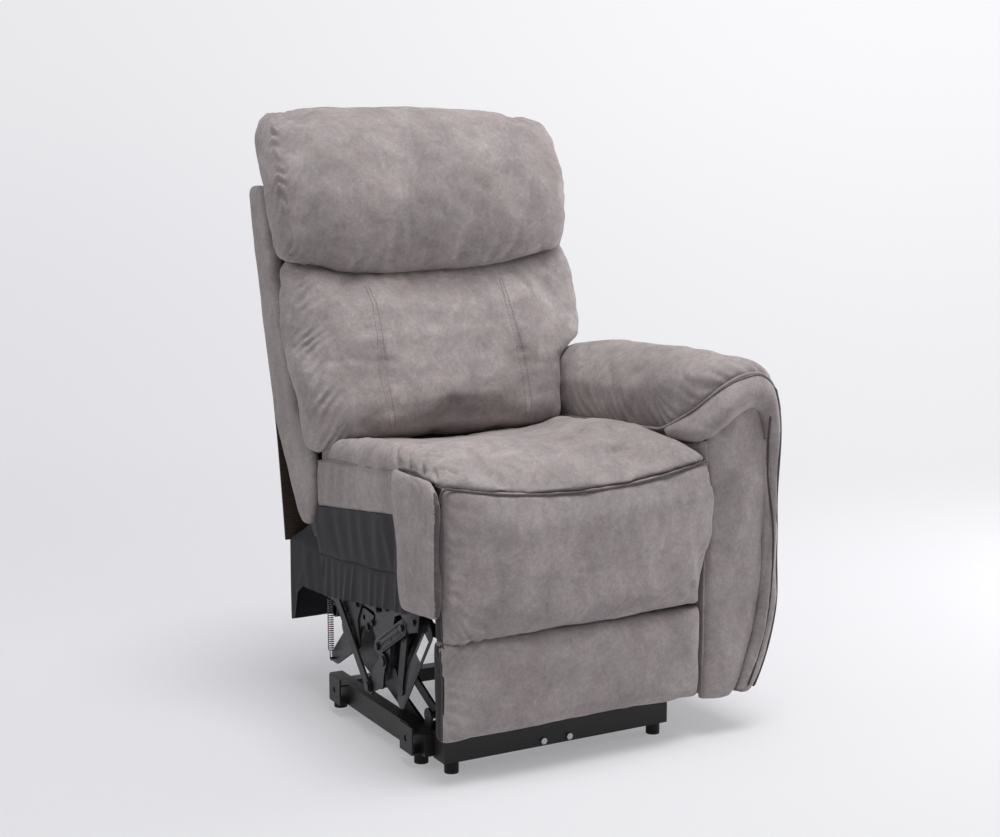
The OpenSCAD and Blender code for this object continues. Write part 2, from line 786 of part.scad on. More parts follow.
// Stations of the arm pad from front to rear:
// [y, inner side and outer side counted from the arm's inner face, share of the height]
pad_form = [
    [-8, 22, 104, 0.4], [0, -2, 132, 0.78], [34, -14, 143, 0.96], [120, -16, 145, 1],
    [250, -14, 144, 1], [350, -10, 142, 0.98], [arm_rear_y - 46, 6, 138, 0.94],
    [arm_rear_y + 2, 20, 130, 0.84], [arm_rear_y + 16, 34, 112, 0.5]
];
module arm_top_pad() {
    color(fabric) chair() skin([for (i = [0:16]) let (
            p = smooth(pad_form, i / 2),
            h = arm_half_h * p[3]
        ) [for (q = round_ring(arm_in_x + (p[1] + p[2]) / 2, arm_box_z + h, (p[2] - p[1]) / 2, h, 22, 3.2))
            [q[0], p[0], q[1]]]
    ], true);
}

button_y = [(panel_y[0] + panel_y[1]) / 2 - 16, (panel_y[0] + panel_y[1]) / 2 + 16];
button_z = (panel_z[0] + panel_z[1]) / 2;
button_travel = 2.5;
button_floor_x = panel_face_x - panel_t + 3;
module control_panel() {
    color("#232326") chair() difference() {
        across(panel_face_x - panel_t, panel_face_x) panel_outline(0);
        for (y = button_y)
            pin(1, [y, button_z], button_floor_x, panel_face_x + 1, button_r + button_gap);
    }
}

module push_button(i) {
    start = button_floor_x + button_travel + 1;
    pin(1, [button_y[i], button_z], start, panel_face_x + button_proud, button_r);
}
module recline_button() { color("#d7d7d7") chair() push_button(0); }
module lift_button() { color("#d7d7d7") chair() push_button(1); }

// ---------- counterbalance spring ----------

spring_x = crank_x + 5.4;
stud_r = 2.4;
ring_steps = 8;
coil_mid_z = (spring_stud[1] + spring_tail[1]) / 2;
coil_low_z = coil_mid_z - coil_turns * coil_pitch / 2;
coil_high_z = coil_mid_z + coil_turns * coil_pitch / 2;
hook_r = stud_r + wire_r + seat_gap;
hook_side = hook_r * 0.75;
// The wire's middle line: a hook under the tail stud, the curls, and a hook over the top stud
coil_line = [for (i = [0:coil_turns * ring_steps]) let (a = 360 * i / ring_steps)
    [coil_r * sin(a), coil_r * cos(a), coil_low_z + coil_pitch * i / ring_steps]];
wire_line = concat(
    [
        [0, -hook_r, spring_tail[1] + 1], [0, -hook_side, spring_tail[1] - hook_side],
        [0, 0, spring_tail[1] - hook_r], [0, hook_side, spring_tail[1] - hook_side],
        [0, hook_r, spring_tail[1] + 1], [0, coil_r, coil_low_z - 4]
    ],
    coil_line,
    [
        [0, coil_r, coil_high_z + 4], [0, hook_r, spring_stud[1] - 1],
        [0, hook_side, spring_stud[1] + hook_side], [0, 0, spring_stud[1] + hook_r],
        [0, -hook_side, spring_stud[1] + hook_side], [0, -hook_r, spring_stud[1] - 1]
    ]
);
apart = 5;
wire_end = len(wire_line) - 1;
self_gap = min([
    for (i = [0:wire_end - apart])
        for (j = [i + apart:min(i + 4 * ring_steps, wire_end)]) norm(wire_line[i] - wire_line[j])
]) - 2 * wire_r;
echo(least_gap_of_the_spring_to_itself = self_gap);
function unit(v) = v / norm(v);
function tangent(p, i) = unit(p[min(i + 1, len(p) - 1)] - p[max(i - 1, 0)]);
module wire(line, r) {
    skin([for (i = [0:len(line) - 1]) let (
            t = tangent(line, i),
            u = unit(cross(t, [1, 0.02, 0])),
            v = cross(t, u)
        ) [for (k = [0:5]) line[i] + r * (u * cos(60 * k) + v * sin(60 * k))]
    ], true);
}

module counter_spring() {
    color("#9a9ba0") chair() translate([-spring_x, spring_stud[0], 0]) wire(wire_line, wire_r);
}

// ---------- footrest mechanism ----------

module upper_links() {
    color(steel_black) chair() for (s = [-1, 1]) {
        layer(s, upper_x, link_t) difference() {
            link([upper_pivot, elbow, guide_low], link_w);
            hole(upper_pivot, pin_r + pin_play);
        }
        rivet_in(s, elbow, lower_x, upper_x + 1, pin_r - 1);
        rivet_in(s, guide_low, guide_x, upper_x + 1, pin_r - 1);
    }
}

module footrest_torque_tube() {
    color(steel_black) chair() {
        difference() {
            across(-upper_x, upper_x) hole(upper_pivot, tube_r + 1.5);
            across(-upper_x - 1, upper_x + 1) hole(upper_pivot, tube_r - 1);
        }
        across(-lever_t / 2, lever_t / 2) difference() {
            link([upper_pivot, footrest_lever_tip], link_w);
            hole(footrest_lever_tip, pin_r + pin_play);
            hole(upper_pivot, tube_r);
        }
    }
}

module lower_links() {
    color(steel_black) chair() for (s = [-1, 1]) {
        layer(s, lower_x, link_t) difference() {
            link([elbow, ottoman_pivot], link_w);
            hole(elbow, pin_r - 1 + pin_play);
        }
        rivet_in(s, ottoman_pivot, ottoman_x, lower_x + 1, pin_r - 1);
    }
}

guide_play = 1.8;
module guide_links() {
    color(steel_black) chair() for (s = [-1, 1]) layer(s, guide_x, link_t) difference() {
        link([guide_low, guide_high], link_w - 2);
        hole(guide_low, pin_r - 1 + pin_play);
        hole(guide_high, pin_r - 1 + guide_play);
    }
}

board_low_z = footrest_bottom_z + 10;
board_high_z = footrest_top_z - 16;
module ottoman_board() {
    color(wood) chair() across(-half_w + 20, half_w - 20)
        translate([board_y, board_low_z]) square([board_t, board_high_z - board_low_z]);
}

module ottoman_brackets() {
    color(steel_black) chair() for (s = [-1, 1]) {
        layer(s, ottoman_x, link_t) difference() {
            union() {
                link([guide_high, ottoman_pivot], link_w);
                web(ottoman_pivot, [board_y + board_t + 4, ottoman_pivot[1]], link_w);
                translate([board_y + board_t, ottoman_pivot[1] - 34]) square([9, 96]);
            }
            hole(ottoman_pivot, pin_r - 1 + pin_play);
        }
        rivet_in(s, guide_high, guide_x, ottoman_x + 1, pin_r - 1);
        translate([s > 0 ? ottoman_x - 22 : -ottoman_x - 1, board_y + board_t, ottoman_pivot[1] - 34])
            cube([23, 3, 96]);
    }
}

pad_rings = 18;
// One ring of a footrest pad at share t of its half width; r is the rounding of the ends
function footrest_ring(t, z0, z1, proud, bulge) =
    let (
        x = cushion_half_w * t,
        full = pow(1 - pow(abs(t) * 0.996, 14), 1 / 6),
        mid = (z0 + z1) / 2,
        half = (z1 - z0) / 2,
        front = board_y - (proud + bulge * (1 - t * t)) * full,
        back = board_y - seat_gap
    )
    [for (i = [0:19]) let (a = 360 * i / 20,
            c = sgn_pow(cos(a), 2 / 5), s = sgn_pow(sin(a), 2 / 3.4))
        [x, back + (front - back) * (0.5 + c * 0.5), mid + half * s]
    ];
module footrest_pad(z0, z1, proud, bulge) {
    skin([for (i = [0:pad_rings])
        footrest_ring(sin(90 * (2 * i / pad_rings - 1)), z0, z1, proud, bulge)]);
}

module footrest_upper_pad() {
    color(fabric) chair() footrest_pad(crease_z + 2, footrest_top_z, pad_proud, 6);
}

module footrest_lower_pad() {
    color(fabric) chair() footrest_pad(footrest_bottom_z, crease_z - 2, pad_proud - 4, 4);
}

module recline_motor() {
    color("#2b2b2e") chair() linear_motor(recline_motor_pivot, footrest_lever_tip, recline_tube_l);
}
module recline_rod() { color("#b9babd") chair() push_rod(recline_motor_pivot, footrest_lever_tip); }

// ---------- back linkage and back ----------

module recline_cranks() {
    color(steel_grey) chair() for (s = [-1, 1]) {
        layer(s, crank_x, link_t) difference() {
            union() {
                link([crank_pivot, [246, 112], crank_end], 28);
                web(crank_pivot, crank_end, 28);
            }
            hole(crank_pivot, pin_r + pin_play);
        }
        rivet_out(s, crank_end, crank_x + 1, outer_link_x + link_t, pin_r - 1);
    }
}

module recline_links() {
    color(steel_grey) chair() for (s = [-1, 1]) layer(s, outer_link_x, link_t) difference() {
        link([crank_end, back_lug], 22);
        hole(crank_end, pin_r - 1 + pin_play);
    }
}

module back_brackets() {
    color(steel_grey) chair() for (s = [-1, 1]) {
        layer(s, crank_x, link_t) link([back_lug, back_pivot, [back_front(560) + 16, 560]], 27);
        rivet_in(s, back_pivot, plate_x, crank_x + 1, pin_r);
    }
}

post_low_z = 385;
post_x = crank_x - post_t;
module back_posts() {
    color(wood) chair() for (s = [-1, 1]) layer(s, post_x, post_t) polygon([
        [back_front(post_low_z) + 2, post_low_z], [back_front(wing_top_z - 2) + 2, wing_top_z - 2],
        [back_front(wing_top_z - 2) + 32, wing_top_z - 2], [back_front(post_low_z) + 32, post_low_z]
    ]);
}

module cross_rail(z0, z1) {
    color(wood) chair() across(-post_x, post_x) polygon([
        [back_front(z0) + 2, z0], [back_front(z1) + 2, z1],
        [back_front(z1) + 32, z1], [back_front(z0) + 32, z0]
    ]);
}
module back_top_rail() { cross_rail(wing_top_z - 72, wing_top_z - 2); }
module back_lower_rail() { cross_rail(post_low_z, post_low_z + 50); }

// Foot and top of the lumbar cushion
lumbar_low_z = 500;
lumbar_top_z = chair_h - 285;
web_count = 4;
web_h = 46;
web_pitch = (lumbar_top_z - lumbar_low_z - web_h - 20) / (web_count - 1);
module back_webbing() {
    color("#3a3a3c") chair() for (i = [0:web_count - 1])
        let (z = lumbar_low_z + 20 + i * web_pitch)
            across(-post_x - post_t / 2, post_x + post_t / 2) polygon([
                [back_front(z), z], [back_front(z + web_h), z + web_h],
                [back_front(z + web_h) + 1.7, z + web_h], [back_front(z) + 1.7, z]
            ]);
}

wing_foot_r = 34;
// Foot of a wing, with y counted from the rear of the seat frame
wing_foot = [[50, 510], [24, 482], [12, 448], [13, 366], [47, 340], [82, 344], [124, 419]];
module wing_outline() {
    difference() {
        union() {
            polygon([
                [back_front(wing_top_z) + 2, wing_top_z], [back_front(552) + 1, 552],
                for (p = wing_foot) [seat_rear_y + p[0], p[1]],
                [back_rear(535), 535], [back_rear(wing_top_z), wing_top_z]
            ]);
            intersection() {
                hole([seat_rear_y + 47, 362], wing_foot_r);
                translate([seat_rear_y + 13, 320]) square([70, 60]);
            }
        }
    }
}
module wing_left() { color(fabric) chair() layer(-1, wing_x, wing_t) wing_outline(); }
module wing_right() { color(fabric) chair() layer(1, wing_x, wing_t) wing_outline(); }

// Stations of the lumbar cushion: [share of the height, depth in front of the frame,
// distance of the rear from the frame, share of the half width]
lumbar_form = [
    [0, 109, 34, 0.86], [0.034, 137, 22, 0.965], [0.2, 152.5, 1.2, 1], [0.475, 150, 1.2, 1.004],
    [0.68, 134, 1.2, 1.04], [0.85, 116, 1.2, 1.09], [0.956, 94.7, 2, 1.1], [1, 70.5, 12, 1.03]
];
least_back_gap = 1;
module lumbar_cushion() {
    rows = 16;
    color(fabric) chair() skin([for (i = [0:rows]) let (
            p = smooth(lumbar_form, 7 * i / rows),
            z = lumbar_low_z + (lumbar_top_z - lumbar_low_z) * p[0],
            front = back_front(z) - p[1],
            hy = (p[1] - max(p[2], least_back_gap)) / 2,
            sew = min(1, 0.2 + 4 * min(i, rows - i) / rows)
        ) [for (q = round_ring(0, front + hy, lumbar_half_w * p[3], hy, 34, 4))
            [q[0], q[1] < front + hy ? q[1] + channel(abs(q[0]) - seam_x, 14, 7 * sew) : q[1], z]]
    ]);
}

// Stations of the head cushion: [z below the top, depth in front of the frame's front,
// depth behind it, share of the half width]
head_form = [
    [283, 75, -11, 0.88], [268, 114.6, 0.4, 0.945], [214, 160.3, 1.3, 0.985],
    [146, 190, 1.4, 1], [82, 197.3, 19.7, 1], [36, 182, 13, 0.985], [10, 152.6, -2.6, 0.945],
    [0, 116, -34, 0.87]
];
module head_cushion() {
    rows = 16;
    color(fabric) chair() skin([for (i = [0:rows]) let (
            p = smooth(head_form, 7 * i / rows),
            z = chair_h - p[0],
            hy = (p[1] + p[2]) / 2
        ) [for (q = round_ring(0, back_front(z) - p[1] + hy, head_half_w * p[3], hy, 30, 3.6))
            [q[0], q[1], z]]
    ]);
}

module outer_back_panel() {
    flap_z = 284;
    bend_z = 535;
    top_z = wing_top_z + 72;
    color(fabric) chair() across(-cloth_x + 1, cloth_x - 1) polygon([
        [seat_rear_y + 144, flap_z], [back_rear(bend_z) + seat_gap, bend_z],
        [back_rear(wing_top_z) + seat_gap, wing_top_z],
        [back_rear(wing_top_z) - 1, wing_top_z + 45],
        [back_rear(wing_top_z) - 13, top_z], [back_rear(wing_top_z) - 10, top_z + 3],
        [back_rear(wing_top_z) + skin_t, wing_top_z + 46], [skin_rear_y, wing_top_z],
        [back_rear(bend_z) + seat_gap + skin_t, bend_z], [seat_rear_y + 149, flap_z]
    ]);
}

// ---------- drawing ----------

base_rail_left();
base_rail_right();
front_cross_bar();
rear_cross_bar();
joining_brackets();
base_feet();
base_bolts();
lift_arms();
lift_torque_tube();
control_links();
lift_motor();
lift_rod();
side_plate_left();
side_plate_right();
rear_torque_tube();
front_cross_tube();
lift_lugs();
seat_side_rails();
seat_front_rail();
seat_rear_rail();
seat_springs();
seat_cushion();
side_strip();
boxing_board();
side_boxing();
side_cloth();
rear_skirt();
arm_frame();
arm_inner_panel();
arm_front_panel();
arm_outer_panel();
arm_welt();
arm_top_pad();
control_panel();
counter_spring();
upper_links();
footrest_torque_tube();
lower_links();
guide_links();
ottoman_board();
ottoman_brackets();
footrest_upper_pad();
footrest_lower_pad();
recline_motor();
recline_rod();
recline_cranks();
recline_links();
back_brackets();
back_posts();
back_top_rail();
back_lower_rail();
back_webbing();
wing_left();
wing_right();
lumbar_cushion();
head_cushion();
outer_back_panel();
recline_button();
lift_button();
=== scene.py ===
"""A lift recliner chair with one arm, dressed over its steel and timber frame.

Every length in the classes is in millimetres, counted from the middle of the seat's
front edge on the floor. chair() turns such a point into the frame's metres.
"""

from __future__ import annotations

import logging
import math
from dataclasses import dataclass, field
from enum import Enum
from typing import Any, Callable, Iterable, Sequence

import bmesh
import bpy
import numpy as np
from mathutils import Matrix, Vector
from mathutils.bvhtree import BVHTree


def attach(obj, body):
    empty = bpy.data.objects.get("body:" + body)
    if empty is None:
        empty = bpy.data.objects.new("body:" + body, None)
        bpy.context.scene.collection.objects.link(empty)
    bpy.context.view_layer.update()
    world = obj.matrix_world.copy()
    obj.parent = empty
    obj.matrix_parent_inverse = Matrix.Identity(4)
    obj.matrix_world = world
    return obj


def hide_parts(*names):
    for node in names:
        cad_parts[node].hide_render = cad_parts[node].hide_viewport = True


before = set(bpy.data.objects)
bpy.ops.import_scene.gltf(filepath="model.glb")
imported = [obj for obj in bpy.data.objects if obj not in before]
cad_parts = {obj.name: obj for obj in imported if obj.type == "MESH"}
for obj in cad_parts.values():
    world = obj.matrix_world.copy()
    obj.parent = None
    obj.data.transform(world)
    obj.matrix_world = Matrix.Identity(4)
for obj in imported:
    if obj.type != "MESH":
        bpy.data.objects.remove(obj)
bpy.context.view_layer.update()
LOG = logging.getLogger("recliner")
Array, Piece, Material, Socket = np.ndarray, bpy.types.Object, bpy.types.Material, bpy.types.NodeSocket
Colour, Triple, Rgba = tuple[int, int, int], tuple[float, float, float], tuple[float, float, float, float]

ORIGIN = np.array((55.75, 377.28, 0.0))
MM = 0.001
AWAY = np.array((0.4848, 0.8746))  # the camera's level directions: away from it
RIGHT = np.array((0.8746, -0.4848))  # and to its right
SEAT_HALF = 250.0
SEAT_LINE = 491.0  # height of the seat's front seam at its ends
SEAT_DIP = 28.0  # how far that seam hangs in the middle
FULL_TURN = 2 * math.pi
CLOTH_SETTINGS = {
    "quality": 4, "mass": 0.25, "tension_stiffness": 12, "compression_stiffness": 12, "shear_stiffness": 5,
    "bending_stiffness": 0.6, "use_pressure": True, "vertex_group_mass": "held"}


class Body(Enum):
    """The moving bodies that pieces ride on."""

    CHASSIS = "chassis"
    OTTOMAN = "ottoman"
    BACK = "back"
    LOWER_LINKS = "footrest lower links"


class Side(Enum):
    """The two sides of the chair: the open one and the one with the arm."""

    OPEN = -1
    ARM = 1


def chair(point: Sequence[float]) -> Vector:
    """A point of the chair in millimetres as the frame's metres."""
    return Vector((np.asarray(point, float) - ORIGIN) * MM)


def to_frame(points: Array) -> Array:
    """Points of the chair in millimetres as the frame's metres."""
    return (np.asarray(points, float) - ORIGIN) * MM


def to_chair(points: Array) -> Array:
    """Points in the frame's metres as the chair's millimetres."""
    return np.asarray(points, float) / MM + ORIGIN


def srgb(red: int, green: int, blue: int) -> Rgba:
    """A colour given as screen values from 0 to 255, as linear values."""
    linear = [((c / 255 + 0.055) / 1.055) ** 2.4 if c > 10 else c / 3294.6 for c in (red, green, blue)]
    return (linear[0], linear[1], linear[2], 1.0)


def shade(colour: Sequence[int], by: int | Sequence[int]) -> Rgba:
    """A screen colour with its values moved by one number or by three, as linear values."""
    return srgb(*(min(255, int(c)) for c in np.add(colour, by)))


# ---------- shader building ----------


class Value:
    """One number of a shader, with the operators of arithmetic."""

    def __init__(self, shader: Shader, socket: Socket) -> None:
        """Wraps a socket of a shader."""
        self.shader = shader
        self.socket = socket

    def _math(self, operation: str, first: Any, second: Any = 0.0) -> Value:
        """Adds a Math node for one operation on two values."""
        made = self.shader.node("ShaderNodeMath", {"operation": operation}, {0: first, 1: second})
        return Value(self.shader, made.outputs[0])

    def __add__(self, other: Any) -> Value:
        """This value plus another."""
        return self._math("ADD", self, other)

    __radd__ = __add__

    def __sub__(self, other: Any) -> Value:
        """This value minus another."""
        return self._math("SUBTRACT", self, other)

    def __rsub__(self, other: Any) -> Value:
        """Another value minus this one."""
        return self._math("SUBTRACT", other, self)

    def __mul__(self, other: Any) -> Value:
        """This value times another."""
        return self._math("MULTIPLY", self, other)

    __rmul__ = __mul__

    def wave(self) -> Value:
        """The sine of this value."""
        return self._math("SINE", self)

    def ramp(self, low: float, high: float) -> Value:
        """A smooth step of this value, 0 below low and 1 above high."""
        made = self.shader.node(
            "ShaderNodeMapRange",
            {"interpolation_type": "SMOOTHSTEP", "clamp": True},
            {"Value": self, "From Min": low, "From Max": high},
        )
        return Value(self.shader, made.outputs[0])


class Shader:
    """The node tree of one finish, with a Principled surface."""

    def __init__(self, name: str) -> None:
        """Starts a material with an empty tree.

        Args:
            name: The material's name.
        """
        self.material = bpy.data.materials.new(name)
        self.material.use_nodes = True
        self.tree = self.material.node_tree
        self.tree.nodes.clear()
        self.output = self.node("ShaderNodeOutputMaterial")
        self._coordinates: Socket | None = None

    def node(
        self,
        kind: str,
        settings: dict[str, Any] | None = None,
        inputs: dict[str | int, Any] | None = None,
    ) -> bpy.types.Node:
        """Adds one node.

        Args:
            kind: The node's type.
            settings: Its properties; "stops" are a ramp's positions and colours.
            inputs: Its sockets by name or number, each a value or a link.

        Returns:
            The node.
        """
        made = self.tree.nodes.new(kind)
        for key, value in (settings or {}).items():
            if key == "stops":
                elements = made.color_ramp.elements
                while len(elements) < len(value):
                    elements.new(0.5)
                for element, (position, colour) in zip(elements, value):
                    element.position = position
                    element.color = colour
            else:
                setattr(made, key, value)
        for key, value in (inputs or {}).items():
            self.feed(made.inputs[key], value)
        return made

    def feed(self, socket: Socket, value: Any) -> None:
        """Links or sets one input socket."""
        if isinstance(value, Value):
            value = value.socket
        if isinstance(value, Socket):
            self.tree.links.new(value, socket)
        else:
            socket.default_value = value

    @property
    def place(self) -> Socket:
        """The object coordinates, in metres."""
        if self._coordinates is None:
            self._coordinates = self.node("ShaderNodeTexCoord").outputs["Object"]
        return self._coordinates

    def moved(self, offset: Sequence[float], scale: Sequence[float] = (1, 1, 1),
              turn: Sequence[float] = (0, 0, 0)) -> Socket:
        """The object coordinates, shifted, turned and scaled by a Mapping node."""
        return self.node(
            "ShaderNodeMapping",
            {},
            {"Vector": self.place, "Location": offset, "Scale": scale, "Rotation": turn},
        ).outputs[0]

    def noise(self, scale: float, detail: float = 4.0, rough: float = 0.55, warp: float = 0.0,
              at: Socket | None = None) -> Value:
        """A fractal noise of the place, in cycles per metre."""
        made = self.node(
            "ShaderNodeTexNoise",
            {"noise_dimensions": "3D"},
            {"Vector": at or self.place, "Scale": scale, "Detail": detail, "Roughness": rough,
             "Distortion": warp},
        )
        return Value(self, made.outputs["Fac"])

    def cells(self, scale: float, at: Socket | None = None) -> Value:
        """The distance to the nearest of many scattered points."""
        made = self.node("ShaderNodeTexVoronoi", {"feature": "F1"}, {"Vector": at or self.place, "Scale": scale})
        return Value(self, made.outputs["Distance"])

    def axis(self, index: int) -> Value:
        """One object coordinate, in metres."""
        made = self.node("ShaderNodeSeparateXYZ", {}, {0: self.place})
        return Value(self, made.outputs[index])

    def mix(self, share: Any, first: Any, second: Any, blend: str = "MIX") -> Socket:
        """A mix of two colours by a share."""
        made = self.node(
            "ShaderNodeMix",
            {"data_type": "RGBA", "blend_type": blend, "clamp_factor": True},
            {0: share, 6: first, 7: second},
        )
        return made.outputs[2]

    def bump(self, height: Any, distance: float, strength: float = 1.0,
             below: Socket | None = None) -> Socket:
        """A bump of a height in shares of distance, in metres, over another one.

        Args:
            height: The height, as a share of the distance.
            distance: The full height in metres.
            strength: How much of it counts.
            below: The normal that it lies on.

        Returns:
            The new normal.
        """
        inputs: dict[str | int, Any] = {"Height": height, "Distance": distance, "Strength": strength}
        if below is not None:
            inputs["Normal"] = below
        return self.node("ShaderNodeBump", {}, inputs).outputs[0]

    def surface(self, **inputs: Any) -> Material:
        """Finishes the material with a Principled surface.

        Args:
            **inputs: The surface's sockets, with underscores for spaces.

        Returns:
            The material.
        """
        made = self.node(
            "ShaderNodeBsdfPrincipled", {}, {key.replace("_", " "): value for key, value in inputs.items()}
        )
        self.tree.links.new(made.outputs[0], self.output.inputs[0])
        return self.material


# ---------- finishes ----------


@dataclass(frozen=True)
class Suede:
    """Brushed suede cloth with the clouds that its nap leaves."""

    name: str
    dark: Colour = (124, 116, 116)
    middle: Colour = (146, 138, 138)
    light: Colour = (168, 159, 158)
    offset: Triple = (0.0, 0.0, 0.0)

    def material(self) -> Material:
        """Builds the material.

        Returns:
            The material.
        """
        s = Shader(self.name)
        at = s.moved(self.offset)
        clouds = s.noise(7, 4, 0.55, 0.4, at)
        patches = s.noise(24, 6, 0.66, 0.7, s.moved(self.offset, (1.0, 1.0, 0.8)))
        specks = s.noise(105, 5, 0.72, 0.5, at)
        brushed = s.noise(230, 3, 0.65, 0.2, s.moved(self.offset, (1.0, 0.55, 1.0), (0.3, 0.5, 0.0)))
        grain = s.noise(800, 3, 0.7, 0.0, at)
        share = clouds * 0.3 + patches * 0.34 + specks * 0.27 + brushed * 0.16 + grain * 0.1 - 0.085
        ramp = s.node(
            "ShaderNodeValToRGB",
            {"stops": [(0.36, srgb(*self.dark)), (0.5, srgb(*self.middle)), (0.63, srgb(*self.light))]},
            {0: share},
        )
        hue = s.mix(s.noise(16, 3, 0.5, 0.3, at).ramp(0.36, 0.66), (0.985, 1.0, 1.0, 1), (1.012, 0.997, 0.997, 1))
        colour = s.mix(1.0, ramp.outputs[0], hue, "MULTIPLY")
        nap = s.bump(patches * 0.3 + specks * 0.7, 0.0012, 0.5)
        fine = s.bump(grain * 0.6 + brushed * 0.4, 0.0005, 0.6, nap)
        return s.surface(
            Base_Color=colour,
            Roughness=0.88 + (patches - 0.5) * 0.14,
            Normal=fine,
            Specular_IOR_Level=0.2,
            Sheen_Weight=0.22,
            Sheen_Roughness=0.5,
            Sheen_Tint=srgb(212, 204, 203),
        )


@dataclass(frozen=True)
class DustCloth:
    """Thin spunbonded cloth with a fine pattern of pressed dots."""

    name: str
    colour: Colour = (46, 44, 47)

    def material(self) -> Material:
        """Builds the material.

        Returns:
            The material.
        """
        s = Shader(self.name)
        dots = s.cells(520).ramp(0.1, 0.45)
        cloud = s.noise(22, 4, 0.6)
        tone = s.mix(cloud, shade(self.colour, -8), shade(self.colour, 8))
        colour = s.mix(dots * 0.2, tone, shade(self.colour, (18, 17, 19)))
        return s.surface(
            Base_Color=colour,
            Roughness=0.72 + cloud * 0.12,
            Normal=s.bump(dots, 0.0004, 0.5, s.bump(cloud, 0.002, 0.3)),
            Specular_IOR_Level=0.2,
            Sheen_Weight=0.05,
            Sheen_Roughness=0.5,
        )


@dataclass(frozen=True)
class CoatedSteel:
    """Pressed steel under a thin dark coat, worn a little brighter in places."""

    name: str
    colour: Colour
    shine: Colour
    rough: float = 0.38
    metal: float = 0.55

    def material(self) -> Material:
        """Builds the material.

        Returns:
            The material.
        """
        s = Shader(self.name)
        cloud = s.noise(18, 4, 0.6)
        wear = s.noise(75, 6, 0.72, 0.6).ramp(0.56, 0.74)
        drawn = s.noise(160, 3, 0.6, 0.0, s.moved((0, 0, 0), (1, 0.12, 1)))
        tone = s.mix(cloud, srgb(*self.colour), shade(self.colour, 12))
        colour = s.mix(wear * 0.45, tone, srgb(*self.shine))
        return s.surface(
            Base_Color=colour,
            Metallic=self.metal + wear * 0.2,
            Roughness=self.rough + (drawn - 0.5) * 0.2 + cloud * 0.08,
            Normal=s.bump(drawn * 0.5 + s.noise(700, 2, 0.5) * 0.5, 0.0003, 0.35),
        )


@dataclass(frozen=True)
class BareSteel:
    """Bright plated steel."""

    name: str
    colour: Colour = (196, 196, 200)
    rough: float = 0.24

    def material(self) -> Material:
        """Builds the material.

        Returns:
            The material.
        """
        s = Shader(self.name)
        haze = s.noise(90, 5, 0.65)
        colour = s.mix(haze, shade(self.colour, (-38, -37, -32)), srgb(*self.colour))
        return s.surface(
            Base_Color=colour,
            Metallic=0.96,
            Roughness=self.rough + haze * 0.18,
            Normal=s.bump(s.noise(1300, 2, 0.5), 0.0002, 0.25),
        )


@dataclass(frozen=True)
class SpringWire:
    """Plated spring wire with one painted band between two heights in millimetres."""

    name: str
    band: tuple[float, float] = (143.0, 164.0)

    def material(self) -> Material:
        """Builds the material.

        Returns:
            The material.
        """
        s = Shader(self.name)
        height = s.axis(2)
        low, high = (z * MM for z in self.band)
        edge = 0.0008
        share = height.ramp(low - edge, low + edge) * (1 - height.ramp(high - edge, high + edge))
        worn = s.noise(420, 4, 0.7).ramp(0.3, 0.42)
        paint = share * worn
        steel = s.mix(s.noise(200, 4, 0.6), srgb(78, 80, 82), srgb(138, 140, 142))
        return s.surface(
            Base_Color=s.mix(paint, steel, srgb(140, 30, 34)),
            Metallic=0.95 - paint * 0.9,
            Roughness=0.26 + paint * 0.2,
            Normal=s.bump(s.noise(900, 3, 0.6), 0.0002, 0.3),
        )


@dataclass(frozen=True)
class Timber:
    """Sawn plywood or softwood with grain along one axis."""

    name: str
    pale: Colour = (178, 142, 98)
    deep: Colour = (120, 84, 52)

    def material(self) -> Material:
        """Builds the material.

        Returns:
            The material.
        """
        s = Shader(self.name)
        along = s.moved((0, 0, 0), (0.6, 6, 9))
        rings = s.node(
            "ShaderNodeTexWave",
            {"wave_type": "BANDS", "bands_direction": "Z"},
            {"Vector": along, "Scale": 6.0, "Distortion": 7.0, "Detail": 3.0, "Detail Scale": 1.4},
        )
        fibre = s.noise(60, 6, 0.7, 0.2, along)
        share = Value(s, rings.outputs["Fac"]) * 0.5 + fibre * 0.5
        return s.surface(
            Base_Color=s.mix(share, srgb(*self.deep), srgb(*self.pale)),
            Roughness=0.62 + fibre * 0.2,
            Normal=s.bump(share, 0.0007, 0.5),
        )


@dataclass(frozen=True)
class Moulded:
    """Moulded plastic or rubber with a fine spark-eroded grain."""

    name: str
    colour: Colour
    rough: float = 0.5
    grain: float = 1600.0
    depth: float = 0.0002

    def material(self) -> Material:
        """Builds the material.

        Returns:
            The material.
        """
        s = Shader(self.name)
        dust = s.noise(35, 5, 0.65)
        tone = s.mix(dust.ramp(0.4, 0.8) * 0.5, srgb(*self.colour), shade(self.colour, 22))
        return s.surface(
            Base_Color=tone,
            Roughness=self.rough + dust * 0.14,
            Normal=s.bump(s.noise(self.grain, 2, 0.6), self.depth, 0.6),
        )


@dataclass(frozen=True)
class Webbing:
    """Woven elastic webbing with ribs across its width."""

    name: str

    def material(self) -> Material:
        """Builds the material.

        Returns:
            The material.
        """
        s = Shader(self.name)
        ribs = (s.axis(2) * 2200).wave() * 0.5 + 0.5
        yarn = (s.axis(0) * 3000).wave() * 0.5 + 0.5
        share = ribs * 0.6 + yarn * 0.4
        return s.surface(
            Base_Color=s.mix(share, srgb(34, 33, 36), srgb(78, 76, 80)),
            Roughness=0.8 + share * 0.1,
            Normal=s.bump(share, 0.0006, 0.7),
        )


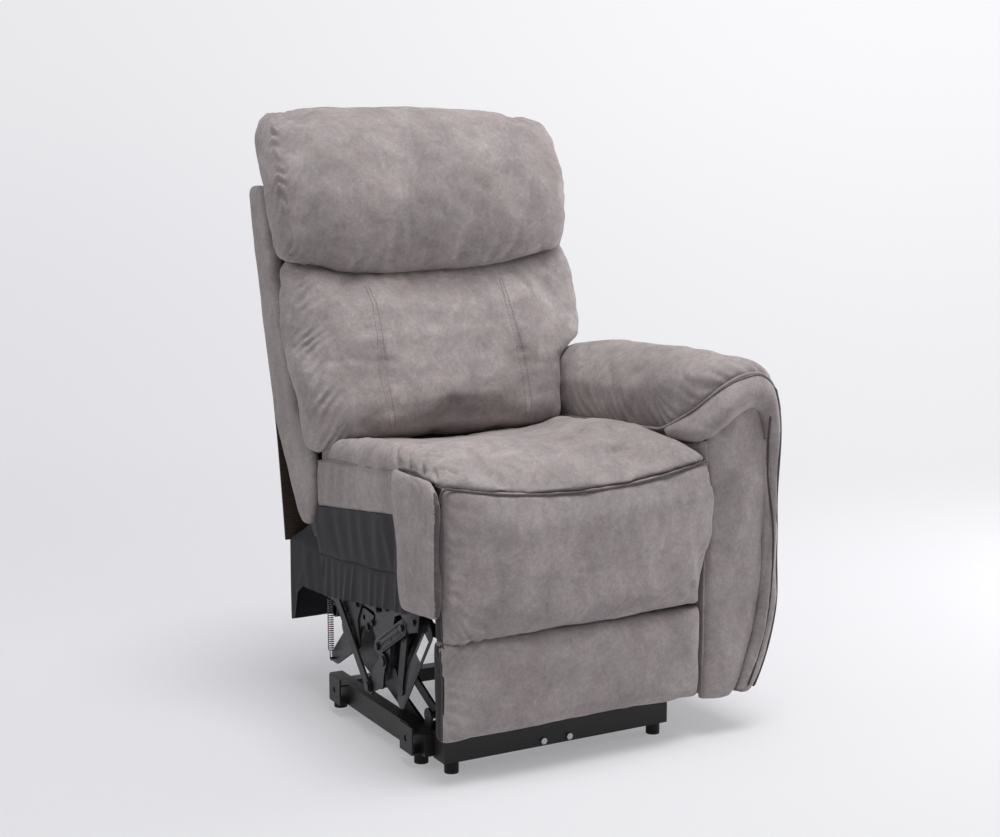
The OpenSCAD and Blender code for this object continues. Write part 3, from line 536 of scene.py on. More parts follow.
@dataclass(frozen=True)
class BlankLabel:
    """A blank paper sticker with slightly soiled edges."""

    name: str

    def material(self) -> Material:
        """Builds the material.

        Returns:
            The material.
        """
        s = Shader(self.name)
        soil = s.noise(160, 5, 0.7).ramp(0.5, 0.8)
        return s.surface(
            Base_Color=s.mix(soil * 0.6, srgb(236, 237, 238), srgb(196, 194, 190)),
            Roughness=0.4 + soil * 0.3,
            Normal=s.bump(s.noise(900, 2, 0.5), 0.0001, 0.3),
        )


class Finishes:
    """All finishes of the chair, each built once."""

    def __init__(self) -> None:
        """Builds every material."""
        self.suede = Suede("suede_seat").material()
        self.suede_back = Suede("suede_back", offset=(3.1, 1.7, 0.4)).material()
        self.suede_arm = Suede("suede_arm", offset=(-2.3, 4.2, 1.1)).material()
        self.suede_rest = Suede("suede_footrest", offset=(5.2, -1.4, 2.6)).material()
        # Darker suede in the tone of suede in shade: it is the seat's front piping, and painted shade on the boxing's
        # front faces.
        self.piping = Suede("suede_piping", (66, 60, 61), (84, 77, 78), (104, 96, 97)).material()
        # Dark suede for welts and seams: painted shadow, drawing the dark lines of shade along their grooves and
        # gaps.
        self.shadow_seam = Suede("suede_seam", (58, 52, 54), (74, 67, 69), (92, 84, 86)).material()
        self.thread = Suede("sewing_thread", (104, 95, 97), (122, 113, 115), (142, 132, 134)).material()
        self.dust_cloth = DustCloth("dust_cloth").material()
        self.dark_cloth = DustCloth("dark_cloth", (38, 36, 39)).material()
        self.black_cloth = DustCloth("black_cloth", (20, 19, 21)).material()
        self.grey_steel = CoatedSteel("grey_steel", (38, 38, 43), (88, 88, 96), 0.32, 0.55).material()
        self.black_steel = CoatedSteel("black_steel", (9, 9, 10), (46, 46, 50), 0.42, 0.12).material()
        self.bright_steel = BareSteel("bright_steel").material()
        self.rod_steel = BareSteel("rod_steel", (188, 188, 192), 0.16).material()
        self.spring = SpringWire("spring_wire").material()
        self.seat_spring = BareSteel("seat_spring_wire", (140, 140, 146), 0.3).material()
        self.timber = Timber("frame_timber", (104, 78, 56), (64, 46, 33)).material()
        self.board = Timber("back_board", (62, 46, 38), (38, 28, 24)).material()
        self.rubber = Moulded("foot_rubber", (17, 17, 18), 0.74, 900, 0.0004).material()
        self.motor = Moulded("motor_case", (38, 38, 41), 0.46).material()
        self.panel = Moulded("panel_case", (30, 30, 33), 0.36).material()
        self.button = Moulded("button_cap", (206, 206, 208), 0.34, 2200, 0.0001).material()
        self.webbing = Webbing("elastic_webbing").material()
        self.label = BlankLabel("blank_label").material()


# ---------- making of meshes ----------


def unit(value: Any) -> Any:
    """A value or values kept from 0 to 1."""
    return np.clip(value, 0, 1)


def length(path: Array) -> float:
    """The length of a path of straight pieces."""
    return np.linalg.norm(np.diff(path, axis=0), axis=1).sum()


def smooth_stations(stations: Sequence[Sequence[float]], count: int) -> Array:
    """Smooth values through stations.

    Args:
        stations: Rows of numbers, at least two.
        count: How many rows come out.

    Returns:
        The rows, from the first station to the last.
    """
    p = np.asarray(stations, float)
    u = np.linspace(0, len(p) - 1, count)
    i = np.minimum(u.astype(int), len(p) - 2)
    f = (u - i)[:, None]
    a, b, c, d = p[np.maximum(i - 1, 0)], p[i], p[i + 1], p[np.minimum(i + 2, len(p) - 1)]
    return b + f * ((c - a) / 2 + f * ((2 * a - 5 * b + 4 * c - d) / 2 + f * (3 * b - a - 3 * c + d) / 2))


def curve_at(stations: Sequence[Sequence[float]], x: Array) -> Array:
    """The value of a smooth curve through [x, value] stations at each x."""
    fine = smooth_stations(stations, 40 * len(stations))
    return np.interp(x, fine[:, 0], fine[:, 1])


def rounded(cx: float, cy: float, hx: float, hy: float, count: int, power: float) -> Array:
    """A rounded rectangle of count points round [cx, cy].

    Args:
        cx, cy: Its middle.
        hx, hy: Half its sizes.
        count: The number of points.
        power: How square it is; 2 is an ellipse.

    Returns:
        The points.
    """
    a = np.linspace(0, FULL_TURN, count, endpoint=False)
    c, s = np.cos(a), np.sin(a)
    x = cx + hx * np.sign(c) * np.abs(c) ** (2 / power)
    y = cy + hy * np.sign(s) * np.abs(s) ** (2 / power)
    return np.stack([x, y], 1)


def new_object(name: str, points: Array, faces: Sequence[Sequence[int]]) -> Piece:
    """A mesh object from points in the frame's metres, its faces pointing outwards.

    Args:
        name: Its name.
        points: Points in metres.
        faces: The faces, as numbers of points.

    Returns:
        The object.
    """
    mesh = bpy.data.meshes.new(name)
    mesh.from_pydata([tuple(p) for p in np.asarray(points, float)], [], [tuple(f) for f in faces])
    made = bmesh.new()
    made.from_mesh(mesh)
    bmesh.ops.recalc_face_normals(made, faces=made.faces)
    made.to_mesh(mesh)
    made.free()
    obj = bpy.data.objects.new(name, mesh)
    bpy.context.scene.collection.objects.link(obj)
    return obj


def loft(name: str, rings: Sequence[Array]) -> Piece:
    """A closed form through rings of points in millimetres, closed from each end's middle.

    Args:
        name: Its name.
        rings: Rings with the same number of points.

    Returns:
        The object.
    """
    n, m = len(rings[0]), len(rings)
    points = np.concatenate([np.asarray(r, float) for r in rings]
                            + [np.mean(rings[0], 0)[None], np.mean(rings[-1], 0)[None]])
    faces: list[tuple[int, ...]] = []
    for i in range(m - 1):
        for j in range(n):
            k = (j + 1) % n
            faces.append((i * n + j, i * n + k, (i + 1) * n + k, (i + 1) * n + j))
    for j in range(n):
        k = (j + 1) % n
        faces.append((m * n, k, j))
        faces.append((m * n + 1, (m - 1) * n + j, (m - 1) * n + k))
    return new_object(name, to_frame(points), faces)


def read(items: Any, key: str) -> Array:
    """One vector of each of a mesh's items.

    Args:
        items: The vertices, or their normals.
        key: The name of the vector.

    Returns:
        One row for each item.
    """
    out = np.empty(len(items) * 3)
    items.foreach_get(key, out)
    return out.reshape(-1, 3)


def coordinates(obj: Piece) -> Array:
    """The vertices of an object's mesh, in metres."""
    return read(obj.data.vertices, "co")


def set_coordinates(obj: Piece, points: Array) -> None:
    """Writes the vertices of an object's mesh, in metres."""
    obj.data.vertices.foreach_set("co", np.asarray(points, float).ravel())
    obj.data.update()


def normals(obj: Piece) -> Array:
    """The vertex normals of an object's mesh."""
    return read(obj.data.vertex_normals, "vector")


def select_only(obj: Piece) -> None:
    """Makes one object the selected and active one.

    Args:
        obj: The object.
    """
    if bpy.context.object and bpy.context.object.mode != "OBJECT":
        bpy.ops.object.mode_set(mode="OBJECT")
    bpy.ops.object.select_all(action="DESELECT")
    bpy.context.view_layer.objects.active = obj
    obj.select_set(True)


def apply_modifier(obj: Piece, kind: str, **settings: Any) -> None:
    """Adds a modifier with its settings and applies it.

    Args:
        obj: The object.
        kind: The modifier's type.
        **settings: Its properties.
    """
    select_only(obj)
    made = obj.modifiers.new(kind.title(), kind)
    for key, value in settings.items():
        setattr(made, key, value)
    bpy.ops.object.modifier_apply(modifier=made.name)


def smooth(obj: Piece, angle: float | None = None) -> None:
    """Shades an object smooth, all over or below an angle in degrees."""
    if angle is None:
        obj.data.polygons.foreach_set("use_smooth", [True] * len(obj.data.polygons))
        obj.data.update()
    else:
        select_only(obj)
        bpy.ops.object.shade_smooth_by_angle(angle=math.radians(angle))


def dress(obj: Piece, material: Material) -> None:
    """Gives an object one material."""
    obj.data.materials.clear()
    obj.data.materials.append(material)


def bevel(obj: Piece, width: float, segments: int = 2) -> None:
    """Bevels an object's sharp edges, by a width in millimetres."""
    apply_modifier(obj, "BEVEL", width=width * MM, segments=segments, limit_method="ANGLE")


def fit_out(obj: Piece, material: Material, body: Body,
            replaces: Sequence[str] = ()) -> Piece:
    """Gives a piece its finish, its body and the nodes that it stands for.

    Args:
        obj: The piece.
        material: Its finish.
        body: The body it rides on.
        replaces: CAD nodes that it replaces.

    Returns:
        The same piece.
    """
    dress(obj, material)
    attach(obj, body.value)
    if replaces:
        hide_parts(*replaces)
    return obj


def upright(name: str, corners: Sequence[tuple[float, float]], heights: Array) -> Piece:
    """An upright prism with [x, y] corners, cut across at each height."""
    return loft(name, [np.array([(x, y, z) for x, y in corners], float) for z in heights])


def sideways(name: str, corners: Iterable[Sequence[float]], faces: Sequence[float]) -> Piece:
    """A plate with [y, z] corners between two x faces."""
    return loft(name, [np.array([(x, y, z) for y, z in corners], float) for x in faces])


def eased(points: Array, columns: int, rounds: int) -> Array:
    """A path whose inner points are averaged with their neighbours, in its first columns.

    Args:
        points: The path's points.
        columns: How many columns are averaged.
        rounds: How often.

    Returns:
        The same path.
    """
    for _ in range(rounds):
        points[1:-1, :columns] = (points[:-2, :columns] + 2 * points[1:-1, :columns] + points[2:, :columns]) / 4
    return points


def grid_faces(rows: int, columns: int) -> list[tuple[int, int, int, int]]:
    """The faces of a grid of points, numbered row by row."""
    return [(r * columns + c, r * columns + c + 1, (r + 1) * columns + c + 1, (r + 1) * columns + c)
            for r in range(rows - 1) for c in range(columns - 1)]


def ripple(points: Array, wavelength: float, seed: int, waves: int = 14) -> Array:
    """A smooth uneven field over points in metres, mostly between -1 and 1.

    Args:
        points: Points in metres.
        wavelength: The middle wavelength in metres.
        seed: The seed of its waves.
        waves: How many are added.

    Returns:
        One value for each point.
    """
    rng = np.random.default_rng(seed)
    total = np.zeros(len(points))
    for _ in range(waves):
        way = rng.normal(size=3)
        way *= FULL_TURN / (wavelength * rng.uniform(0.6, 1.8)) / np.linalg.norm(way)
        total += np.sin(points @ way + rng.uniform(0, FULL_TURN))
    return total / math.sqrt(waves)


def nearest_on_path(points: Array, path: Array) -> tuple[Array, Array, Array]:
    """The nearest place on a path of straight pieces.

    Args:
        points: Points in metres.
        path: The path's points in metres.

    Returns:
        For each point the distance, the length along the path and the nearest place.
    """
    start, way = path[:-1], path[1:] - path[:-1]
    size = np.maximum(np.einsum("ij,ij->i", way, way), 1e-12)
    run = np.concatenate([[0.0], np.cumsum(np.sqrt(size))])
    best = np.full(len(points), 1e9)
    along = np.zeros(len(points))
    spot = np.zeros((len(points), 3))
    for k in range(len(start)):
        t = unit(((points - start[k]) @ way[k]) / size[k])
        near = start[k] + t[:, None] * way[k]
        d = np.linalg.norm(points - near, axis=1)
        closer = d < best
        best = np.where(closer, d, best)
        along = np.where(closer, run[k] + t * (run[k + 1] - run[k]), along)
        spot = np.where(closer[:, None], near, spot)
    return best, along, spot


def resample(path: Array, step: float) -> Array:
    """A path with points every step metres.

    Args:
        path: The path in metres.
        step: The step in metres.

    Returns:
        The new path.
    """
    run = np.concatenate([[0.0], np.cumsum(np.linalg.norm(np.diff(path, axis=0), axis=1))])
    count = max(2, int(run[-1] / step) + 1)
    at = np.linspace(0, run[-1], count)
    return np.stack([np.interp(at, run, path[:, k]) for k in range(3)], 1)


def snapped(obj: Piece, path: Array, lift: float = 0.0, step: float = 0.006) -> Array:
    """A path laid on an object's surface, lifted along the normal, in metres.

    Args:
        obj: The object that carries it.
        path: The path in metres.
        lift: The lift in metres.
        step: The distance of its points.

    Returns:
        The new path.
    """
    tree = BVHTree.FromObject(obj, bpy.context.evaluated_depsgraph_get())
    out = []
    for p in resample(path, step):
        spot, normal, _, _ = tree.find_nearest(Vector(p))
        out.append(np.array(spot + normal * lift) if spot is not None else p)
    return eased(np.array(out), 3, 3)


def tube(name: str, path: Array, radius: float | Array, sides: int = 8) -> Piece:
    """A closed tube along a path, in metres.

    Args:
        name: The object's name.
        path: The path's points.
        radius: One radius, or one for each point.
        sides: The number of sides.

    Returns:
        The object.
    """
    path = np.asarray(path, float)
    radii = np.broadcast_to(np.asarray(radius, float), (len(path),))
    tangents = np.gradient(path, axis=0)
    tangents /= np.maximum(np.linalg.norm(tangents, axis=1), 1e-9)[:, None]
    side = np.cross(tangents[0], (0.31, 0.22, 0.92))
    rings = []
    for p, t, r in zip(path, tangents, radii):
        side = side - t * float(side @ t)
        side /= np.linalg.norm(side)
        up = np.cross(t, side)
        a = np.linspace(0, FULL_TURN, sides, endpoint=False)[:, None]
        rings.append(to_chair(p + r * (np.cos(a) * side + np.sin(a) * up)))
    made = loft(name, rings)
    smooth(made)
    return made


@dataclass
class Seam:
    """A sewn line on a padded piece.

    The seam sinks the surface along its path, and the cloth beside it puckers.
    """

    path: Array
    depth: float = 3.0
    width: float = 6.0
    pucker: float = 0.0
    pitch: float = 22.0
    reach: float = 38.0
    skew: float = 0.5
    toward: Triple | None = None
    seed: int = 1
    slash: Triple | None = None

    def press(self, points: Array) -> Array:
        """How far each point moves along its normal, in metres.

        Args:
            points: Points in metres.

        Returns:
            One length for each point.
        """
        d, along, spot = nearest_on_path(points, to_frame(self.path))
        d, along = d / MM, along / MM
        total = -self.depth * np.exp(-((d / self.width) ** 2))
        if self.pucker:
            rng = np.random.default_rng(self.seed)
            beside = d
            if self.slash is not None:
                beside = d * np.sign((points - spot) @ np.asarray(self.slash))
            phase = FULL_TURN * (along + self.skew * beside) / self.pitch
            phase += 1.6 * np.sin(along / self.pitch * 0.9
                                  + rng.uniform(0, 6)) + 0.9 * np.sin(along / self.pitch * 2.3 + rng.uniform(0, 6))
            share = 0.62 + 0.38 * np.sin(along / self.pitch * 1.37 + rng.uniform(0, 6))
            fold = np.sign(np.sin(phase)) * np.abs(np.sin(phase)) ** 0.8
            grow = 1 - np.exp(-((d / 5) ** 2)) if self.slash is None else 1.0
            amount = self.pucker * share * fold * np.exp(-d / self.reach) * grow
            if self.toward is not None:
                amount *= ((points - spot) @ np.asarray(self.toward) > 0)
            total += amount
        return total * MM


@dataclass
class Cushion:
    """A padded piece: its plain form, how the cloth swells, and its seams."""

    name: str
    rings: Sequence[Array]
    body: Body
    replaces: Sequence[str]
    material: Material
    seams: list[Seam] = field(default_factory=list)
    shape: Callable[[Array, Array], Array] | None = None
    hold: Callable[[Array], Array] | None = None
    voxel: float = 6.5
    pressure: float = 4.0
    cap: float = 20.0
    swell: float = 0.02
    frames: int = 18
    uneven: float = 0.9
    fill: float = 0.75
    seed: int = 3
    slot: str = "suede cloth"

    def build(self) -> Piece:
        """Makes the piece, from its rings to its dressed mesh.

        Returns:
            The finished piece.
        """
        obj = loft(self.name, self.rings)
        apply_modifier(obj, "REMESH", mode="VOXEL", voxel_size=self.voxel * MM)
        self._blow(obj)
        apply_modifier(obj, "SUBSURF", levels=1, render_levels=1)
        self._sew(obj)
        smooth(obj)
        fit_out(obj, self.material, self.body, self.replaces)
        LOG.info("%s: %d faces", self.name, len(obj.data.polygons))
        return obj

    def _blow(self, obj: Piece) -> None:
        """Swells the cloth by pressure, held at its seams, and caps the movement.

        Args:
            obj: The plain form.
        """
        start = coordinates(obj)
        held = np.zeros(len(start))
        for seam in self.seams:
            d, _, _ = nearest_on_path(start, to_frame(seam.path))
            held = np.maximum(held, unit(1.6 - d / (6 * MM)))
        if self.hold is not None:
            held = np.maximum(held, self.hold(to_chair(start)))
        group = obj.vertex_groups.new(name="held")
        for level in (0.25, 0.5, 0.75, 1.0):
            chosen = np.nonzero((held > level - 0.25) & (held <= level))[0]
            if len(chosen):
                group.add([int(i) for i in chosen], level, "REPLACE")
        cloth = obj.modifiers.new("Cloth", "CLOTH")
        for key, value in CLOTH_SETTINGS.items():
            setattr(cloth.settings, key, value)
        cloth.settings.uniform_pressure_force = self.pressure
        cloth.settings.shrink_min = -self.swell
        cloth.settings.effector_weights.gravity = 0
        cloth.collision_settings.use_collision = False
        cloth.point_cache.frame_start = 1
        cloth.point_cache.frame_end = self.frames
        scene = bpy.context.scene
        for number in range(1, self.frames + 1):
            scene.frame_set(number)
        move = coordinates(obj.evaluated_get(bpy.context.evaluated_depsgraph_get())) - start
        size = np.linalg.norm(move, axis=1)
        move *= np.minimum(1, self.cap * MM / np.maximum(size, 1e-9))[:, None]
        obj.modifiers.remove(cloth)
        obj.vertex_groups.remove(group)
        scene.frame_set(1)
        set_coordinates(obj, start + move)
        apply_modifier(obj, "SMOOTH", factor=0.5, iterations=5)

    def _sew(self, obj: Piece) -> None:
        """Presses the seams, the unevenness and the piece's own shape into the surface.

        Args:
            obj: The swollen form.
        """
        points, normal = coordinates(obj), normals(obj)
        lift = self.uneven * MM * (ripple(points, 0.11, self.seed) + 0.45 * ripple(points, 0.045, self.seed + 1))
        for seam in self.seams:
            lift = lift + seam.press(points)
        points = points + normal * lift[:, None]
        if self.shape is not None:
            points = to_frame(self.shape(to_chair(points), normal))
        set_coordinates(obj, points)


@dataclass
class Trim:
    """Piping and stitches along a path on a piece."""

    body: Body
    slot: str = "suede cloth"

    def welt(self, name: str, on: Piece | None, path: Array, radius: float,
             material: Material, lift: float = 0.0) -> Piece:
        """Piping along a path.

        Args:
            name: The piece's name.
            on: The object that it is laid on, or None for the path as it is.
            path: The path in millimetres.
            radius: The piping's radius in millimetres.
            material: Its finish.
            lift: How far its middle stands off the surface, in millimetres.

        Returns:
            The piping.
        """
        line = snapped(on, to_frame(path), lift * MM) if on is not None else resample(to_frame(path), 0.005)
        taper = np.ones(len(line))
        taper[0] = taper[-1] = 0.45
        return fit_out(tube(name, line, radius * MM * taper, 10), material, self.body)

    def stitches(self, name: str, on: Piece, paths: Sequence[Array],
                 material: Material, size: float = 5.2, gap: float = 1.8,
                 radius: float = 0.55) -> Piece:
        """Rows of stitches laid on a surface, with every size in millimetres.

        Args:
            name: The piece's name.
            on: The object that carries them.
            paths: The rows.
            material: The thread.
            size: The length of a stitch.
            gap: The gap between two stitches.
            radius: The thread's radius.

        Returns:
            One object with all stitches.
        """
        tree = BVHTree.FromObject(on, bpy.context.evaluated_depsgraph_get())
        points: list[Array] = []
        faces: list[tuple[int, ...]] = []
        profile = ((-0.5, -0.5, 0.6), (-0.3, 0.45, 1.0), (0.3, 0.45, 1.0), (0.5, -0.5, 0.6))
        for path in paths:
            line = resample(to_frame(path), (size + gap) * MM)
            for i in range(1, len(line) - 1):
                spot, normal, _, _ = tree.find_nearest(Vector(line[i]))
                way = Vector(line[i + 1] - line[i - 1])
                way = (way - normal * way.dot(normal)).normalized()
                across = normal.cross(way)
                first = len(points) * 5
                for share, up, thick in profile:
                    middle = spot + way * share * size * MM + normal * up * radius * MM
                    ring = [middle + (across * math.cos(a) + normal * math.sin(a)) * radius * thick * MM
                            for a in (0.0, 1.257, 2.513, 3.77, 5.027)]
                    points.append(np.array([tuple(v) for v in ring]))
                for r in range(3):
                    for k in range(5):
                        n = (k + 1) % 5
                        faces.append((first + r * 5 + k, first + r * 5 + n, first + r * 5 + 5 + n,
                                      first + r * 5 + 5 + k))
                faces.append(tuple(first + k for k in range(5)))
                faces.append(tuple(first + 15 + k for k in range(5)))
        made = new_object(name, np.concatenate(points), faces)
        smooth(made)
        return fit_out(made, material, self.body)


def join(parts: Sequence[Piece], name: str) -> Piece:
    """Joins objects into the first one, which takes a name.

    Args:
        parts: The objects.
        name: The name.

    Returns:
        The joined object.
    """
    select_only(parts[0])
    for part in parts:
        part.select_set(True)
    bpy.ops.object.join()
    parts[0].name = parts[0].data.name = name
    return parts[0]


def settle(obj: Piece) -> None:
    """Moves an object's place, turn and scale into its mesh."""
    select_only(obj)
    bpy.ops.object.transform_apply(location=True, rotation=True, scale=True)


# ---------- back ----------


@dataclass
class Back:
    """Head cushion, lumbar cushion, wings and outer back."""

    finishes: Finishes
    head_half: float = 291.0
    top: float = 1080.0
    wing_in: float = 243.6
    wing_thick: float = 20.0
    wing_top: float = 938.0
    slope: float = 0.364
    rear_slope: float = 0.2736

    def front(self, z: Any) -> Any:
        """The frame's front face at a height."""
        return 556 + self.slope * (z - 552)

    def rear(self, z: Any) -> Any:
        """The frame's rear face at a height."""
        return 657 + self.rear_slope * (z - 535)

    @staticmethod
    def crease(x: Array) -> Array:
        """How the line between the two cushions waves across the width."""
        return curve_at(
            [(-300, 6), (-262, 11), (-215, 4), (-165, -9), (-80, -12), (25, -9), (100, -8), (165, 0),
             (210, 10), (262, 15), (300, 12)], x)

    def head(self) -> Cushion:
        """The head cushion: a puffed roll with a gathered panel at each end.

        Returns:
            The unbuilt cushion.
        """
        stations = [
            (290, 96, -14, 0.90), (277, 136, 0.4, 0.965), (250, 160, 1.0, 0.99), (214, 178, 1.3, 1.005),
            (146, 196, 1.4, 1.02), (90, 196, 12, 1.015), (52, 184, 8, 0.995), (24, 156, -6, 0.955),
            (12, 122, -34, 0.90)]
        rings, left, right = [], [], []
        for drop, deep, behind, share in smooth_stations(stations, 38):
            z = self.top - drop
            hy = (deep + behind) / 2
            middle = self.front(z) - deep + hy
            ring = rounded(0, middle, (self.head_half - 6) * share, hy - 4, 84, 3.6)
            ring[:, 0] += np.where(ring[:, 0] > 0, 15, 3)
            z_ring = np.full(len(ring), z) + self.crease(ring[:, 0]) * max(0.0, 1 - (drop - 290) / -75)
            rings.append(np.column_stack([ring, z_ring]))
            for sign, path in ((-1, left), (1, right)):
                x = sign * (self.head_half - 6) * share * 0.985 + 7
                path.append((x, middle - (hy - 4) * (0.5 - 0.16 * (290 - drop) / 290), z))
        lines = []
        for path in (left, right):
            x, y, z = path[-1]
            over = [(x * 0.98, y + 20, self.top - 10), (x * 0.97, y + 45, self.top - 8),
                    (x * 0.97, y + 75, self.top - 14)]
            behind = [(x * 0.99, self.front(h) + 6, h) for h in (1050, 1010, 960)]
            lines.append(np.array([(px, py, pz) for px, py, pz in path] + over + behind))
        seams = [
            Seam(lines[0], 2.0, 7, 5.0, 27, 20, -1.4, None, 4, (1, 0.2, 0)),
            Seam(lines[1], 3.0, 8, 2.2, 36, 18, 0.8, None, 6)]

        def hold(points: Array) -> Array:
            """Holds the foot and the side that lies on the frame.

            Args:
                points: Points in millimetres.

            Returns:
                Their hold, from 0 to 1.
            """
            x, y, z = points.T
            foot = unit((806 - z) / 12) * unit((y - self.front(z) + 110) / 20)
            frame_side = unit((y - self.front(z) + 10) / 12) * (z < 940)
            return np.maximum(foot, frame_side)

        return Cushion(
            "head_cushion_cover", rings, Body.BACK, ["head_cushion"],
            self.finishes.suede_back, seams, hold=hold, cap=14, seed=11, uneven=1.3)

    def lumbar(self) -> Cushion:
        """The lumbar cushion with two stitched seams and a pointed lower corner.

        Returns:
            The unbuilt cushion.
        """
        stations = [  # share of the height, depth before the frame, gap behind, half widths on both sides
            (0, 106, 34, 244, 220), (0.034, 136, 22, 266, 232), (0.2, 152, 1.2, 280, 240),
            (0.38, 149, 1.2, 288, 250), (0.46, 143, 1.2, 290, 280), (0.54, 138, 1.2, 290, 312),
            (0.72, 130, 1.2, 286, 322), (0.85, 122, 1.2, 280, 318), (0.95, 108, 2, 270, 308),
            (1, 86, 12, 252, 296)]
        low, high = 497.0, 798.0
        rings = []
        edges: tuple[list, list] = ([], [])
        for share, deep, gap, wide_open, wide_arm in smooth_stations(stations, 40):
            z = low + (high - low) * share
            hy = (deep - max(gap, 1)) / 2
            middle = self.front(z) - deep + hy
            ring = rounded(0, middle, 1, hy - 3, 92, 4.2)
            ring[:, 0] *= np.where(ring[:, 0] < 0, wide_open - 6, wide_arm - 6)
            beside = (ring[:, 1] > self.front(z) - 8) & (np.abs(ring[:, 0]) > 240)
            ring[beside, 0] = np.sign(ring[beside, 0]) * 240
            lift = self.crease(ring[:, 0]) * max(0.0, 1 - (1 - share) / 0.25)
            lift += 34 * unit((ring[:, 0] - 235) / 60) * unit((share - 0.7) / 0.3)
            rings.append(np.column_stack([ring, np.full(len(ring), z) + lift]))
            for sign, wide, edge in ((-1, wide_open, edges[0]), (1, wide_arm, edges[1])):
                edge.append((sign * (wide - 6) * 0.93, middle - hy * 0.66, z))
        seams = []
        for sign in (-1, 1):
            xs = smooth_stations([(502, 138), (572, 142), (624, 142), (697, 137), (752, 135), (796, 135)], 30)
            path = np.array([(sign * x, self.front(z) - 150, z) for z, x in xs])
            seams.append(Seam(path, 4.5, 7, 0.8, 30, 18, 0.2, None, 21 + sign))
        seams.append(Seam(np.array(edges[0]), 1.6, 7, 3.6, 21, 15, -0.75, None, 27, (1, 0.2, 0)))
        seams.append(Seam(np.array(edges[1])[14:-3], 1.5, 8, 1.2, 34, 16, 0.5, None, 28))

        def hold(points: Array) -> Array:
            """Holds the side that lies on the frame and the top under the head cushion.

            Args:
                points: Points in millimetres.

            Returns:
                Their hold, from 0 to 1.
            """
            x, y, z = points.T
            top = 786 + 34 * unit((x - 235) / 60)
            return np.maximum(unit((y - self.front(z) + 12) / 10), unit((z - top) / 10))

        def shape(points: Array, normal: Array) -> Array:
            """Pulls the lower corner of the open side down to a point.

            Args:
                points: Points in millimetres.
                normal: Their normals.

            Returns:
                The moved points.
            """
            x, y, z = points.T
            near = np.exp(-(((x + 264) / 30) ** 2 + ((z - 510) / 34) ** 2))
            points = points.copy()
            points[:, 2] -= 30 * near
            points[:, 0] -= 9 * near
            return points

        return Cushion(
            "lumbar_cushion_cover", rings, Body.BACK, ["lumbar_cushion"],
            self.finishes.suede_back, seams, shape=shape, hold=hold, cap=12, seed=17, uneven=1.5)

    def wing(self, side: Side) -> Cushion:
        """One upholstered wing beside the cushions.

        Args:
            side: Its side of the chair.

        Returns:
            The unbuilt wing.
        """
        foot = [(520, 510), (494, 482), (482, 448), (480, 405), (484, 366), (497, 342), (517, 331), (536, 334),
                (552, 350),
                (594, 419)]
        front, rear, top = self.front, self.rear, self.wing_top
        outline = [(front(top - 12) + 2, top - 12), (front(820) + 1, 820), (front(700) + 1, 700),
                   (front(600) + 1, 600), (front(552) - 3, 546), *foot, (rear(500) + 5, 500), (rear(535) + 8, 535),
                   (rear(700) + 8, 700), (rear(820) + 8, 820), (rear(top - 12) + 8, top - 12), (rear(top) - 8, top),
                   (front(top) + 18, top)]
        line = resample(np.array([(0, y, z) for y, z in outline + outline[:1]], float), 9.0)[:-1]
        middle = line.mean(0)
        sign = side.value
        rings = []
        for across, shrink in ((0.0, 10), (0.4, 5), (2.2, 1.2), (6, 0), (14, 0), (17.8, 1.2), (19.6, 5), (20, 10)):
            way = line - middle
            size = np.linalg.norm(way, axis=1)[:, None]
            ring = line - way / size * shrink * 0.9
            ring[:, 0] = sign * (self.wing_in + across * self.wing_thick / 20)
            rings.append(ring)
        return Cushion(
            "wing_cover_" + side.name.lower(), rings, Body.BACK,
            ["wing_left" if sign < 0 else "wing_right"], self.finishes.suede_back,
            voxel=5.0, pressure=1.2, cap=3.5, swell=0.0, uneven=0.6, seed=31 + sign)

    def outer_back(self) -> Piece:
        """The outer back panel: suede outside, bare board inside, bowed over the frame.

        Returns:
            The panel.
        """
        top, rear = self.wing_top, self.rear
        rows = [(615.5, 285), (634, 400), (rear(535) + 3, 535), (rear(736) + 3, 736), (rear(top) + 3, top),
                (rear(top) + 1, top + 45), (rear(top) - 11, top + 70)]
        line = smooth_stations(rows, 48)
        rings = []
        for x in np.linspace(-1, 1, 41):
            half = 1.6 + 1.6 * (1 - abs(x) ** 16)
            turn = unit((line[:, 1] - 860) / 105)
            wide = 248.5 - 51 * turn * turn * (3 - 2 * turn) + 13.5 * (x < 0) * unit((575 - line[:, 1]) / 30)
            outer = [(x * w, y + half, z) for w, (y, z) in zip(wide, line)]
            inner = [(x * w, y - half * 0.8, z) for w, (y, z) in zip(wide[::-1], line[::-1])]
            rings.append(np.array(outer + inner))
        obj = loft("outer_back_cover", rings)
        points = coordinates(obj)
        points[:, 1] += 0.0006 * ripple(points, 0.2, 77)
        set_coordinates(obj, points)
        smooth(obj, 50)
        fit_out(obj, self.finishes.suede_back, Body.BACK, ["outer_back_panel"])
        obj.data.materials.append(self.finishes.board)
        obj.data.materials.append(self.finishes.dark_cloth)
        for face in obj.data.polygons:
            low = face.center.z < 0.58 and abs(face.normal.x) > 0.6
            face.material_index = 1 if face.normal.y < -0.6 else 2 if low else 0
        return obj

    def build(self) -> None:
        """Makes the whole back."""
        head, lumbar = self.head(), self.lumbar()
        lumbar_obj = lumbar.build()
        head.build()
        trim = Trim(Body.BACK)
        rows = []
        for seam in lumbar.seams[:2]:
            for shift in (-4.0, 4.0):
                rows.append(seam.path + np.array((shift, 0, 0)))
        trim.stitches("lumbar_stitches", lumbar_obj, rows, self.finishes.thread)
        for side in Side:
            self.wing(side).build()
        self.outer_back()


# ---------- seat ----------


